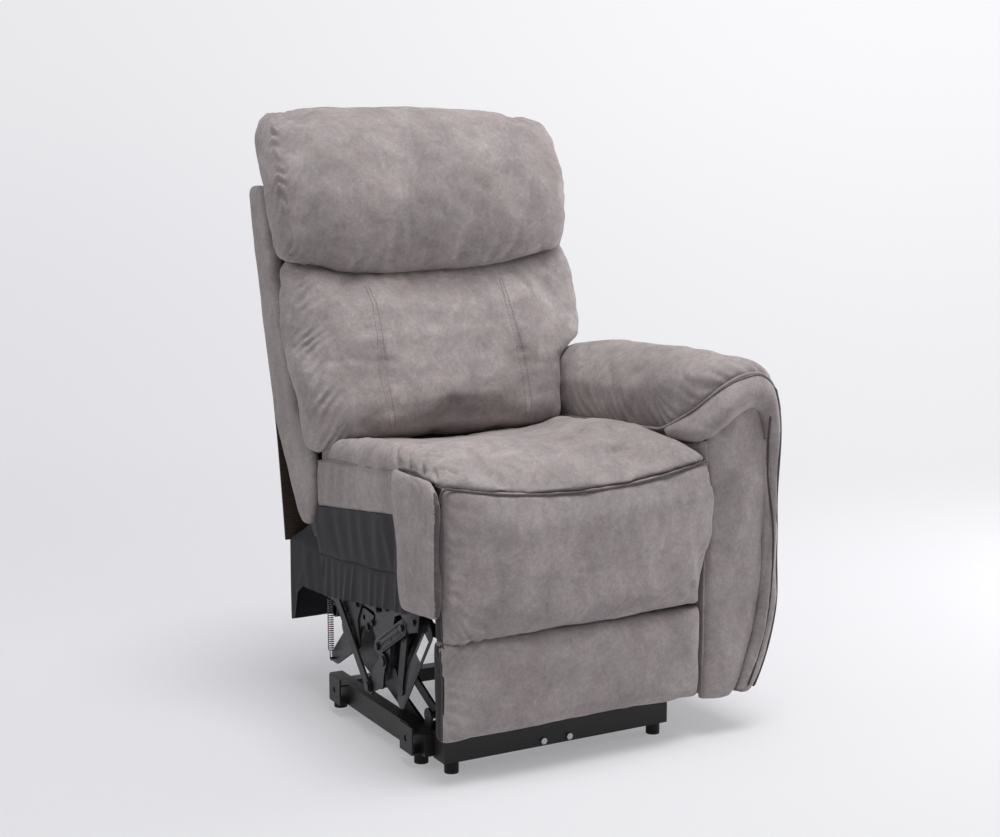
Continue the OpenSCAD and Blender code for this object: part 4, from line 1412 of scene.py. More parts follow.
@dataclass
class Seat:
    """Seat cushion, side strip and side boxing."""

    finishes: Finishes

    @staticmethod
    def front_line(x: Any) -> Any:
        """The height of the sewn line where the seat meets the footrest pad."""
        return SEAT_LINE - SEAT_DIP * np.maximum(0, 1 - np.abs(np.asarray(x, float) / SEAT_HALF) ** 2.1)

    def cushion(self) -> Cushion:
        """The seat cushion with its bolsters, its tuck and the gathered corner.

        Returns:
            The unbuilt cushion.
        """
        middle = [(-12, 3), (0, 11), (28, 34), (60, 56), (90, 67), (115, 70), (150, 63), (180, 54), (235, 40),
                  (330, 25), (396, 20), (438, 17), (468, 12)]
        open_side = [(-12, 497), (28, 512), (68, 522), (140, 531), (235, 527), (330, 517), (396, 508), (441, 498),
                     (468, 484)]
        arm_side = [(-12, 489), (0, 495), (28, 506), (68, 515), (110, 520), (150, 519), (229, 514), (311, 509),
                    (398, 506), (440, 504), (468, 491)]
        ys = np.concatenate([np.linspace(-12, 30, 10), np.linspace(38, 468, 40)])
        at_open, at_arm, at_middle = (curve_at(p, ys) for p in (open_side, arm_side, middle))
        rings = []
        for x in np.concatenate([np.linspace(-254, -196, 18), np.linspace(-188, 196, 34), np.linspace(204, 249, 12)]):
            t = x / SEAT_HALF
            front_z = float(self.front_line(x))
            to_open = float(unit((-x - 165) / 60))
            to_arm = float(unit((x - 150) / 85))
            to_open, to_arm = (w * w * (3 - 2 * w) for w in (to_open, to_arm))
            top = (front_z + at_middle
                   * (538 - front_z) / 75) * (1 - to_open - to_arm) + at_open * to_open + at_arm * to_arm
            edge = (255 if x < 0 else 250) - abs(x)
            top = top - (32 if x < 0 else 16) * (1 - min(1.0, edge / 24)) ** 2.4 * unit((ys + 40) / 70)
            nose = -9 * (1 - min(1.0, t * t))
            low = [(y, 447.5 if x > -248 else 452 + 42 * (468 - y) / 318)
                   for y in (468, 400, 330, 250, 180, 120, 64)]
            low += [(59, max(474, front_z)), (44, max(474, front_z)), (30, front_z - 1), (8, front_z - 2)]
            ring = [(x, y, min(z, 496)) for y, z in low]
            ring.append((x, nose, front_z - 3))
            ring += [(x, max(y, nose + (y + 12) * 0.5) if y < 12 else y, max(z, front_z)) for y, z in zip(ys, top)]
            line = np.array(ring + ring[:1], float)
            rings.append(resample(line, length(line) / 119.5)[:119])
        left = np.array([(-214, 440, 500), (-207, 340, 515), (-200, 206, 530), (-187, 150, 532), (-173, 110, 528),
                         (-163, 66, 520), (-156, 28, 505), (-140, 6, 485)], float)
        corner = np.array([(-253, 140, 505), (-252, 104, 506), (-250, 68, 505), (-243, 40, 503), (-232, 18, 499)],
                          float)
        valley = np.array([(112, 50, 511), (92, 84, 524), (66, 134, 528), (34, 188, 520), (4, 232, 510)], float)
        folds = [[(-254, 148, 502), (-247, 168, 519), (-234, 184, 529), (-212, 184, 530)],
                 [(-254, 104, 503), (-247, 122, 518), (-234, 134, 527), (-210, 128, 529)],
                 [(-252, 62, 502), (-246, 76, 514), (-234, 84, 521), (-214, 72, 523)],
                 [(-245, 24, 497), (-241, 34, 507), (-230, 34, 511), (-214, 16, 507)]]
        seams = [
            Seam(left, 7.5, 15, 0.5, 34, 24, 0.2, None, 41),
            Seam(corner, 2.0, 7, 4.0, 17, 18, 0.5, (0.8, 0.1, 0.6), 42),
            *[Seam(np.array(fold, float), 6.5, 4.6) for fold in folds],
            Seam(valley, 5.0, 17, 0.0),
            Seam(np.array([(88, 44, 508), (101, 48, 511), (120, 56, 512)], float), 8.0, 10, 1.6, 15, 22, 0.3, None,
                 44)]

        def hold(points: Array) -> Array:
            """Holds the platform side, the nose and the rear.

            Args:
                points: Points in millimetres.

            Returns:
                Their hold, from 0 to 1.
            """
            x, y, z = points.T
            nose = unit((16 - y) / 12) * unit((self.front_line(x) + 14 - z) / 8)
            return np.maximum.reduce([unit((462 - z) / 10), unit((y - 455) / 12), nose])

        def shape(points: Array, normal: Array) -> Array:
            """Raises the rear bolster of the arm side.

            Args:
                points: Points in millimetres.
                normal: Their normals.

            Returns:
                The moved points.
            """
            x, y, z = points.T
            points = points.copy()
            upward = unit(normal[:, 2])
            points[:, 0] += 15 * unit((x - 215) / 30) * unit((22 - y) / 28)
            points[:, 2] += 17 * np.exp(-(((x - 152) / 62) ** 2 + ((y - 232) / 78) ** 2)) * upward
            return points

        return Cushion(
            "seat_cushion_cover", rings, Body.CHASSIS, ["seat_cushion"],
            self.finishes.suede, seams, shape=shape, hold=hold, cap=8, pressure=2.6, swell=0.01, seed=23, uneven=1.3)

    def strip(self) -> Piece:
        """The cloth strip on the open side, with soft upright puckers.

        Returns:
            The strip.
        """
        top = [(478, 455), (440, 463), (350, 471), (250, 480), (150, 492), (58, 492)]
        count, rows = 190, 40
        ys = np.linspace(478, 58, count)
        z_top = np.interp(ys, [p[0] for p in top][::-1], [p[1] for p in top][::-1])
        z_low = np.interp(ys, [58, 478], [430, 374.7])
        rings = []
        for v in np.linspace(0, 1, rows):
            z = z_low + (z_top - z_low) * v
            belly = 2.0 * math.sin(math.pi * min(1, v * 1.04)) ** 0.5
            fold = unit((ys - 200) / 120) * (
                1.7 * np.sin(ys / 8.5 + 1.2 * np.sin(ys / 31)) * math.sin(math.pi * v) ** 0.7)
            outer = np.stack([-(251.6 + belly + fold), ys, z], 1)
            inner = np.stack([np.where(z > 448, -250.6, -249.9), ys, z], 1)
            rings.append(np.concatenate([outer, inner[::-1]]))
        obj = loft("side_strip_cover", rings)
        smooth(obj, 60)
        fit_out(obj, self.finishes.suede, Body.CHASSIS, ["side_strip"])
        return obj

    def boxing(self) -> Cushion:
        """The padded boxing at the front of the open side, with rounded ends.

        Returns:
            The unbuilt boxing.
        """
        stations = [(269, 0.80, 0.5), (273, 0.92, 0.8), (283, 0.97, 0.96), (330, 1.0, 1.0), (400, 1.0, 1.0),
                    (455, 0.99, 1.0), (480, 0.92, 0.97), (492, 0.78, 0.85), (498, 0.55, 0.55)]
        rings = []
        for z, deep, thick in smooth_stations(stations, 42):
            front = -7 + (1 - deep) * 60 + 10 * max(0, (z - 455) / 45) ** 2
            rear = 151 - (1 - deep) * 6 - (490 - z) * 0.15
            hy = (rear - front) / 2
            ring = rounded(0, front + hy, 15 * thick, hy, 60, 5.5)
            x = np.where(ring[:, 0] < 0, -254.2, -254.2 - ring[:, 0])
            rise = 12 * unit((70 - ring[:, 1]) / 80) * unit((330 - z) / 60)
            rings.append(np.column_stack([x, ring[:, 1], z + rise]))
        seam = np.array([(-268, 22, 285), (-270, 13, 300), (-271, 11, 380), (-271, 12, 440), (-270, 20, 468),
                         (-268, 44, 488), (-266, 76, 494)], float)
        return Cushion(
            "side_boxing_cover", rings, Body.CHASSIS, ["side_boxing"], self.finishes.suede,
            [Seam(seam, 1.4, 4, 0.8, 26, 18, 0.1, None, 51)], voxel=4.5, pressure=1.5, cap=3.0, swell=0.0,
            uneven=0.7, seed=29)

    def build(self) -> None:
        """Makes the seat."""
        cushion, boxing = self.cushion(), self.boxing()
        cushion.build()
        box_obj = boxing.build()
        # Painted shade: faces of the boxing that point forward take the darker piping suede, for the shade in the gap
        # beside the footrest pad.
        box_obj.data.materials.append(self.finishes.piping)
        for face in box_obj.data.polygons:
            face.material_index = int(face.normal.y < -0.75)
        self.strip()
        trim = Trim(Body.CHASSIS)
        # A welt in the painted-shadow suede draws the dark shade in the gap between the boxing and the seat and
        # footrest pad.
        trim.welt("boxing_welt", None, np.array(
            [(-256, 138, 497), (-256, 106, 500), (-255, 78, 500), (-254, 50, 495), (-253, 30, 488), (-252.5, 12, 476),
             (-252.5, 3, 458), (-252.5, -1, 430), (-252.5, -2, 380), (-252.5, -1, 320), (-252.5, 6, 290)], float),
            2.4, self.finishes.shadow_seam)
        trim.welt("strip_seam", None, np.array(
            [(-252.5, 477, 455), (-252.6, 440, 463), (-252.6, 350, 471), (-252.8, 250, 480), (-253.5, 150, 491)],
            float),
            1.6, self.finishes.thread)
        trim.welt("strip_end_seam", None, np.array(
            [(-255.6, 151, 488), (-255.6, 146, 450), (-255.4, 141, 419)], float), 1.1, self.finishes.thread)


# ---------- footrest ----------


@dataclass
class Footrest:
    """The two footrest pads and the line that closes the upper one."""

    finishes: Finishes
    half: float = 250.0
    crease: float = 235.0
    bottom: float = 72.0
    board: float = 40.0
    rear: float = 39.4

    def pad(self, name: str, node: str, low: float, high: Callable[[float], float], proud: float,
            bulge: float, wide: Callable[[float], float], seed: int) -> Cushion:
        """One pad.

        Args:
            name: The piece's name.
            node: The CAD node that it replaces.
            low: The height of its foot.
            high: The height of its top across the width.
            proud: How far it stands in front of the board.
            bulge: How much more it stands out in the middle.
            wide: The extra width of the arm side at a height.
            seed: The seed of its unevenness.

        Returns:
            The cushion.
        """
        rings = []
        a = np.linspace(0, FULL_TURN, 72, endpoint=False)
        c = np.sign(np.cos(a)) * np.abs(np.cos(a)) ** np.where(np.cos(a) > 0, 2 / 6, 2 / 16)
        power = np.where(np.sin(a) > 0, 2 / 7, 2 / 4.2)
        s = np.sign(np.sin(a)) * np.abs(np.sin(a)) ** power
        for t in np.sin(np.linspace(-math.pi / 2, math.pi / 2, 54)):
            full = (1 - (abs(t) * 0.994) ** 24) ** (1 / 5)
            x = (self.half - 2) * t
            top = high(x)
            middle, half = (low + top) / 2, (top - low) / 2 - 1.0
            front = self.board - (proud + bulge * (1 - t * t)) * full
            y = self.rear + (front - self.rear) * (0.5 + c * 0.5)
            z = middle + half * s
            extra = np.array([wide(v) for v in z]) * max(0.0, (t - 0.6) / 0.4) ** 2 * unit((9 - y) / 8)
            rings.append(np.stack([x + extra, y, z], 1))

        def hold(points: Array) -> Array:
            """Holds the side that lies on the board and the upper edge.

            Args:
                points: Points in millimetres.

            Returns:
                Their hold, from 0 to 1.
            """
            x, y, z = points.T
            edge = np.array([high(v) for v in (-250, -200, -150, -100, -50, 0, 50, 100, 150, 200, 250)])
            line = np.interp(x, np.linspace(-250, 250, 11), edge)
            return np.maximum(unit((y - 22) / 12), unit((z - line + 10) / 8))

        edge = [(-243, -2, z) for z in np.linspace(low + 14, high(-240) - 6, 24)]
        ends = [(x, -8, low + 6 if low > 100 else high(x) - 5) for x in (-248, -240, -230, -218, -206)]
        seams = [Seam(np.array(edge), 1.2, 6, 2.2, 24, 20, 0.4, (1, 0, 0), seed),
                 Seam(np.array(ends), 0.5, 6, 4.5, 17, 22, 0.8, None, seed + 1)]
        return Cushion(
            name, rings, Body.OTTOMAN, [node], self.finishes.suede_rest, seams, hold=hold,
            cap=6, pressure=2.5, swell=0.004, uneven=1.5, seed=seed)

    def build(self) -> None:
        """Makes both pads and the piping of the upper one."""
        upper = self.pad(
            "footrest_upper_cover", "footrest_upper_pad", self.crease - 1.0, lambda x: float(Seat.front_line(x)) + 1,
            52, 8, lambda z: 25 * math.exp(-((z - 402) / 82) ** 2), 61)
        lower = self.pad(
            "footrest_lower_cover", "footrest_lower_pad", self.bottom, lambda x: self.crease + 3.5, 45, 4,
            lambda z: 2.0, 62)
        trim = Trim(Body.OTTOMAN)
        for cushion, high, low in ((upper, 456, 246), (lower, 228, 82)):
            obj = cushion.build()
            # Dark cloth on the pads' rear faces, and on the open side's flank behind the front as painted shade.
            obj.data.materials.append(self.finishes.dark_cloth)
            for face in obj.data.polygons:
                depth = float(to_chair(np.array([face.center]))[0, 1])
                face.material_index = int(depth > 34 or (depth > 7 and face.normal.x < -0.8))
            # A seam in the painted-shadow suede draws the dark line of shade down the open side's edge of each pad,
            # over the border of the dark cloth.
            edge = np.array([(-252, 7, z) for z in np.linspace(high, low, 30)])
            trim.welt(cushion.name + "_seam", obj, edge, 1.9, self.finishes.shadow_seam, 0.2)
        xs = np.linspace(-243, 251, 60)
        path = np.array([(x, -3.5 - 9 * (1 - (x / 251) ** 2), float(Seat.front_line(x)) - 2.5) for x in xs])
        corner = np.array([(-250.5, 6, 458), (-250.8, 3, 471), (-248.5, -1, 482)], float)
        # The front piping takes the darker piping suede, coloured as suede in shade.
        Trim(Body.CHASSIS).welt(
            "footrest_piping", None, np.vstack([corner, path]), 2.2, self.finishes.piping)


# ---------- arm ----------


@dataclass
class Arm:
    """The padded arm: pad, front roll, recessed front panel, outer panel and welts."""

    finishes: Finishes
    outer: float = 402.5
    rear: float = 476.0

    def out(self, z: Any) -> Any:
        """The arm's outer face at a height.

        Args:
            z: One height, or many.

        Returns:
            The face in x for each.
        """
        z = np.asarray(z, float)
        below = 51 / 238**3 * np.abs(z - 310) ** 3
        above = 26 / 260**3 * np.abs(z - 310) ** 3
        return self.outer - np.where(z < 310, below, above)

    def pad(self) -> Cushion:
        """The arm pad, drawn up over the front roll.

        Returns:
            The unbuilt pad.
        """
        stations = [  # y, inner x, outer x, low z, top z
            (-7, 322, 364, 610, 628), (-2, 300, 380, 598, 637), (12, 276, 391, 580, 645), (34, 260, 396, 560, 651),
            (66, 249, 397, 534, 653), (110, 240, 397, 508, 653), (180, 237, 397, 500, 652), (260, 237, 397, 493, 650),
            (350, 237, 396, 487, 647), (430, 237, 395, 483, 644), (470, 237, 393, 483, 642),
            (494, 238, 389, 485, 640),
            (502, 247, 378, 496, 628)]
        rings = []
        for y, x0, x1, z0, z1 in smooth_stations(stations, 64):
            middle = (z0 + z1) / 2
            section = ((x0 + x1) / 2, middle, (x1 - x0) / 2 - 3, (z1 - z0) / 2 - 3, 76)
            ring, square = rounded(*section, 3.3), rounded(*section, 3.3 + 4 * unit((y - 60) / 60))
            ring = np.where(ring[:, 1:] < middle, square, ring)
            shoulder = unit((ring[:, 0] - 345) / 50) ** 2 * unit((ring[:, 1] - 590) / 40)
            ring[:, 1] -= 12 * shoulder
            ring[:, 1] += np.where(ring[:, 1] < 545, unit(y / 60 - 1.2) * np.clip(ring[:, 0] - 256, 0, 14),
                                   0)
            rings.append(np.stack([ring[:, 0], np.full(len(ring), y), ring[:, 1]], 1))
        seam = self.front_welt()[6:-6]

        def hold(points: Array) -> Array:
            """Holds the foot of the pad."""
            return unit((533 - points[:, 2]) / 8) * (points[:, 0] > 262)

        return Cushion(
            "arm_pad_cover", rings, Body.CHASSIS, ["arm_top_pad"], self.finishes.suede_arm,
            [Seam(seam, 2.4, 6, 4.2, 26, 26, 0.7, (0.2, 0.6, 0.8), 71)], hold=hold, cap=8, pressure=3.0,
            swell=0.006, seed=37, uneven=1.5)

    @staticmethod
    def front_welt() -> Array:
        """The light welt: along the inner edge, over the front and down to the outer corner."""
        return smooth_stations([
            (243, 478, 503), (240, 398, 508), (238, 311, 513), (237, 229, 518), (236, 150, 523), (237, 114, 528),
            (247, 84, 545), (260, 58, 564), (269, 28, 587), (283, 6, 609), (312, -7, 627), (346, -10, 630),
            (370, -11, 616), (385, -11, 590), (392, -12, 562)], 110)

    def roll(self) -> Cushion:
        """The soft band under the front welt, which narrows down the outer edge.

        Returns:
            The unbuilt roll.
        """
        upper = [(239, 112, 527), (249, 82, 543), (262, 55, 562), (271, 26, 585), (286, 4, 608), (314, -6, 624),
                 (346, -9, 628), (371, -10, 614), (385, -10, 582), (391, -10, 540), (393, -10, 490), (394, -10, 422),
                 (392, -10, 335), (385, -10, 248), (369, -10, 161), (346, -10, 104), (333, -8, 78)]
        lower = [(240, 100, 512), (241, 58, 512), (246, 22, 515), (258, 4, 525), (282, -2, 541), (306, -3, 557),
                 (332, -4, 569), (354, -4, 564), (368, -4, 545), (375, -4, 510), (379, -4, 472), (381, -4, 420),
                 (379, -4, 340), (371, -4, 252), (355, -4, 168), (333, -4, 106), (321, -3, 78)]
        ways = [(-0.75, -0.55, 0.35), (-0.72, -0.62, 0.3), (-0.6, -0.78, 0.2), (-0.45, -0.88, 0.12),
                (-0.25, -0.96, 0.1),
                (-0.1, -0.99, 0.1), (0, -1, 0.1), (0.1, -1, 0.05)] + [(0.12, -1, 0)] * 8 + [(0, -1, -0.1)]
        rings = []
        for p, q, way in zip(*(smooth_stations(v, 110) for v in (upper, lower, ways))):
            way = way / np.linalg.norm(way)
            bulge = 0.34 * np.linalg.norm(p - q)
            arc = [p + (q - p) * u + way * bulge * math.sin(math.pi * u) ** 0.7 for u in np.linspace(0, 1, 13)]
            back = [q - way * 24 + (p - q) * u for u in np.linspace(0.06, 0.94, 7)]
            rings.append(np.array(arc + back))
        return Cushion(
            "arm_front_roll", rings, Body.CHASSIS, [], self.finishes.suede_arm, voxel=3.6,
            pressure=1.0, cap=2.5, swell=0.0, uneven=0.9, seed=39)

    def front_panel(self) -> Cushion:
        """The tall recessed panel of the arm's front, bulging between its seams.

        Returns:
            The unbuilt panel.
        """
        left = [(71, 253), (90, 251), (250, 250.5), (420, 251.5), (520, 255), (560, 266), (580, 290)]
        right = [(71, 314), (84, 324), (106, 336), (168, 358), (252, 374), (340, 381), (420, 383), (472, 382),
                 (510, 380), (545, 375), (580, 360)]
        zs = np.concatenate([np.linspace(66.5, 90, 9), np.linspace(98, 540, 44), np.linspace(546, 580, 8)])
        x0, x1 = curve_at(left, zs), curve_at(right, zs)
        rings = []
        for z, a, b in zip(zs, x0, x1):
            ends = min(1.0, 0.5 + (z - 66) / 30)
            u = np.linspace(0, 1, 27)
            face = 9 - (13.5 * ends) * np.sin(math.pi * u) ** 0.55 + 3 * (1 - ends)
            front = np.stack([a + (b - a) * u, face, np.full(27, z)], 1)
            back = np.stack([np.linspace(b, a, 13), np.full(13, 24.0), np.full(13, z)], 1)
            rings.append(np.vstack([front, back]))
        return Cushion(
            "arm_front_cover", rings, Body.CHASSIS, ["arm_front_panel"], self.finishes.suede_arm,
            voxel=4.5, pressure=1.6, cap=4.0, swell=0.0, uneven=1.3, seed=43)

    def side(self) -> Cushion:
        """The outer panel, rounded from top to foot, with a soft front rim.

        Returns:
            The unbuilt panel.
        """
        rings = []
        for z in np.concatenate([np.linspace(71, 84, 5), np.linspace(94, 505, 44), np.linspace(511, 519, 4)]):
            out = float(self.out(z))
            ends = min(1.0, 0.55 + (z - 71) / 24, 0.6 + (519.6 - z) / 20)
            pts = [(out - 34, 26), (out - 34, 6), (out - 31, -4), (out - 24, -8), (out - 12, -9), (out - 5, -7),
                   (out - 1.5, -1), (out, 10), (out + 0.3, 60), (out + 0.5, 160), (out + 0.5, 300), (out, 440),
                   (out - 2, 466), (out - 9, self.rear - 1), (out - 40, self.rear), (315, self.rear),
                   (312, self.rear - 8), (311, 300), (311, 120), (312, 26)]
            line = resample(np.array([(x, y, 0) for x, y in pts + pts[:1]], float), 12.0)[:88]
            if len(line) < 88:
                line = resample(line, length(line) / 87.999)
            line[:, 2] = z
            middle = np.array((out - 45, 230, z))
            line[:, 0] = middle[0] + (line[:, 0] - middle[0]) * (0.93 + 0.07 * ends)
            line[:, 0] += 2.5 * unit((line[:, 0] - out + 20) / 20)
            rings.append(line)
        count = min(len(r) for r in rings)
        rings = [resample(r, length(r) / (count - 0.5))[:count] for r in rings]
        return Cushion(
            "arm_side_cover", rings, Body.CHASSIS, ["arm_outer_panel"], self.finishes.suede_arm,
            voxel=6.0, pressure=1.0, cap=2.5, swell=0.0, uneven=1.3, seed=47)

    @staticmethod
    def ridge(shells: Sequence[Piece], heights: Array) -> Array:
        """The line along which the arm's front turns to its outer side.

        Args:
            shells: The pieces that make the corner.
            heights: The heights of the line's points.

        Returns:
            The line, in millimetres.
        """
        cloud = to_chair(np.concatenate([coordinates(obj) for obj in shells]))
        cloud = cloud[(cloud[:, 1] < 60) & (cloud[:, 0] > 300)]
        line = []
        for z in heights:
            near = cloud[np.abs(cloud[:, 2] - z) < 5]
            best = near[np.argmax(near[:, :2] @ RIGHT)]
            line.append((min(best[0] + 0.3, 404.5), best[1], z))
        return eased(np.array(line), 2, 40)

    @staticmethod
    def laid(shells: Sequence[Piece], path: Array, lift: float) -> Array:
        """A path moved onto the front of some pieces, in millimetres.

        Args:
            shells: The pieces.
            path: The path, whose depth counts for nothing.
            lift: How far it stands off them.

        Returns:
            The path.
        """
        trees = [BVHTree.FromObject(obj, bpy.context.evaluated_depsgraph_get()) for obj in shells]
        out = []
        for x, _, z in path:
            hits = [tree.ray_cast(chair((x, -80, z)), Vector((0, 1, 0)))[0] for tree in trees]
            fronts = [to_chair(np.array([tuple(hit)]))[0, 1] for hit in hits if hit is not None]
            out.append((x, min(fronts) - lift if fronts else -8.0, z))
        return eased(np.array(out), 2, 30)

    def build(self) -> None:
        """Makes the arm."""
        self.pad().build()
        roll_obj = self.roll().build()
        self.front_panel().build()
        side_obj = self.side().build()
        trim = Trim(Body.CHASSIS)
        trim.welt("arm_pad_welt", None, self.front_welt(), 2.6, self.finishes.suede_arm)
        shells = [roll_obj, side_obj]
        edge = self.ridge(shells, np.linspace(604, 78, 100))
        # The outer welt and the rim seam are in the painted-shadow suede, drawn as the dark lines of shade along
        # them.
        welt = trim.welt("arm_outer_welt", None, edge, 3.0, self.finishes.shadow_seam)
        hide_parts("arm_welt")
        inner = self.laid(shells, edge[9:-1] - np.array((19.0, 0, 0)), 0.3)
        trim.welt("arm_rim_seam", None, inner, 1.9, self.finishes.shadow_seam)
        for name, x0, x1, y0, y1, heights, width in (
                ("arm_rear_cover", 254.5, 330, 474, 479, (77, 517), 1.6),
                ("arm_inner_cover", 253.2, 262, 8, 475.5, (76, 519), 2.0)):
            panel = upright(name, ((x0, y0), (x1, y0), (x1, y1), (x0, y1)), np.linspace(*heights, 24))
            bevel(panel, width)
            smooth(panel, 40)
            fit_out(panel, self.finishes.suede_arm, Body.CHASSIS)


# ---------- dark cloths ----------


@dataclass
class DarkCloths:
    """The hanging cloth of the open side and the skirt at the rear."""

    finishes: Finishes
    thick: float = 0.9

    def hang(self, name: str, grid: Array, node: str, material: Material) -> Piece:
        """A hanging cloth from a grid of points.

        Args:
            name: The piece's name.
            grid: Points by row and column, in millimetres.
            node: The CAD node that it replaces.
            material: Its finish.

        Returns:
            The cloth.
        """
        rows, columns = grid.shape[:2]
        obj = new_object(name, to_frame(grid.reshape(-1, 3)), grid_faces(rows, columns))
        apply_modifier(obj, "SOLIDIFY", thickness=self.thick * MM, offset=0.0)
        smooth(obj, 60)
        fit_out(obj, material, Body.CHASSIS, [node])
        return obj

    def side(self) -> Piece:
        """The hanging side cloth, gathered into upright folds, with one seam across.

        Returns:
            The cloth.
        """
        rows, columns = 60, 190
        grid = np.zeros((rows, columns, 3))
        rng = np.random.default_rng(8)
        broad = [(y, rng.uniform(13, 22), rng.uniform(2.0, 4.6), rng.uniform(-0.55, -0.1))
                 for y in (455, 428, 396, 356, 318, 268, 216, 165)]
        tight = [(y, rng.uniform(7, 11), rng.uniform(2.0, 3.8), rng.uniform(-0.1, 0.25))
                 for y in (462, 440, 414, 386, 352, 326, 290, 258, 232, 196, 158, 130)]
        seam = []
        for c in range(columns):
            y = 114 + (477 - 114) * c / (columns - 1)
            top = 417.5 - 0.132 * (y - 150)
            low = 262 + (216 - 262) * min(1, (y - 114) / 328) if y < 442 else 216 + (y - 442) * 1.9
            seam_z = 318 - 0.10 * (y - 150) + 1.5 * math.sin(y / 22)
            base = 250.9 + 3.8 * unit((162 - y) / 12)
            for r in range(rows):
                v = r / (rows - 1)
                z = top + (low - top) * v
                above = z > seam_z
                run = (top - z) / (top - seam_z) if above else (seam_z - z) / max(20.0, seam_z - low)
                grow = math.sin(math.pi * (0.08 + 0.84 * run)) ** 0.7 if above else 0.35 + 0.65 * run
                fold = 0.0
                for at, wide, high, lean in broad if above else tight:
                    fold += high * math.exp(-(((y - at - lean * (seam_z - z)) / wide) ** 2))
                fold = min(7.5, fold * 1.3) * grow * (1 - math.exp(-(((z - seam_z) / 7.0) ** 2)))
                fold += 1.5 if above else 0.0
                grid[r, c] = (-(base + fold), y, z)
            seam.append((-(base + 1.3), y, seam_z))
        Trim(Body.CHASSIS, "dust cloth").welt("side_cloth_seam", None, np.array(seam), 1.1, self.finishes.black_cloth)
        return self.hang("side_cloth_drape", grid, "side_cloth", self.finishes.dust_cloth)

    def skirt(self) -> Piece:
        """The rear skirt: two sides and a rear in one cloth, open at its foot.

        Returns:
            The cloth.
        """
        feet = [(447, 213), (500, 211), (562, 207), (586, 190), (600, 137), (619.5, 131)]
        heads = [(447, 372), (478, 366), (540, 330), (600, 296), (619.5, 287)]

        def height(points: list[tuple[float, float]], y: float) -> float:
            """The height of an edge at a depth."""
            return float(np.interp(y, [p[0] for p in points], [p[1] for p in points]))

        line = [(-1.0, y, height(heads, y), height(feet, y)) for y in np.linspace(447, 619, 60)]
        line += [(x, 620.2, 286.5, 131.0) for x in np.linspace(-0.98, 0.98, 90)]
        line += [(1.0, y, height(heads, y), height(feet, y)) for y in np.linspace(619, 447, 60)]
        rows = 36
        grid = np.zeros((rows, len(line), 3))
        for c, (x, y, high, low) in enumerate(line):
            for r in range(rows):
                v = r / (rows - 1)
                z = high + (low - high) * v
                side = abs(x) > 0.99
                run = y if side else x * 250
                fold = (1.5 * math.sin(run / 14 + 2.2 * v + 0.9 * math.sin(run / 31))
                        + 1.0 * math.sin(run / 6.6 + 3 * v)) * (0.3 + 0.7 * v)
                fold += 2.2 * math.exp(-(((y - 470 - 120 * v) / 16) ** 2)) * side
                if side:
                    inward = 9.5 * unit((z - 292) / 20) * unit((y - 470) / 12)
                    grid[r, c] = (math.copysign(250.6 - inward + 0.5 * fold, x), y, z)
                else:
                    grid[r, c] = (x * 250.6, y + 0.5 * fold - 0.8, z)
        return self.hang("rear_skirt_drape", grid, "rear_skirt", self.finishes.dark_cloth)

    def build(self) -> None:
        """Makes both cloths."""
        self.side()
        self.skirt()


# ---------- hard parts ----------


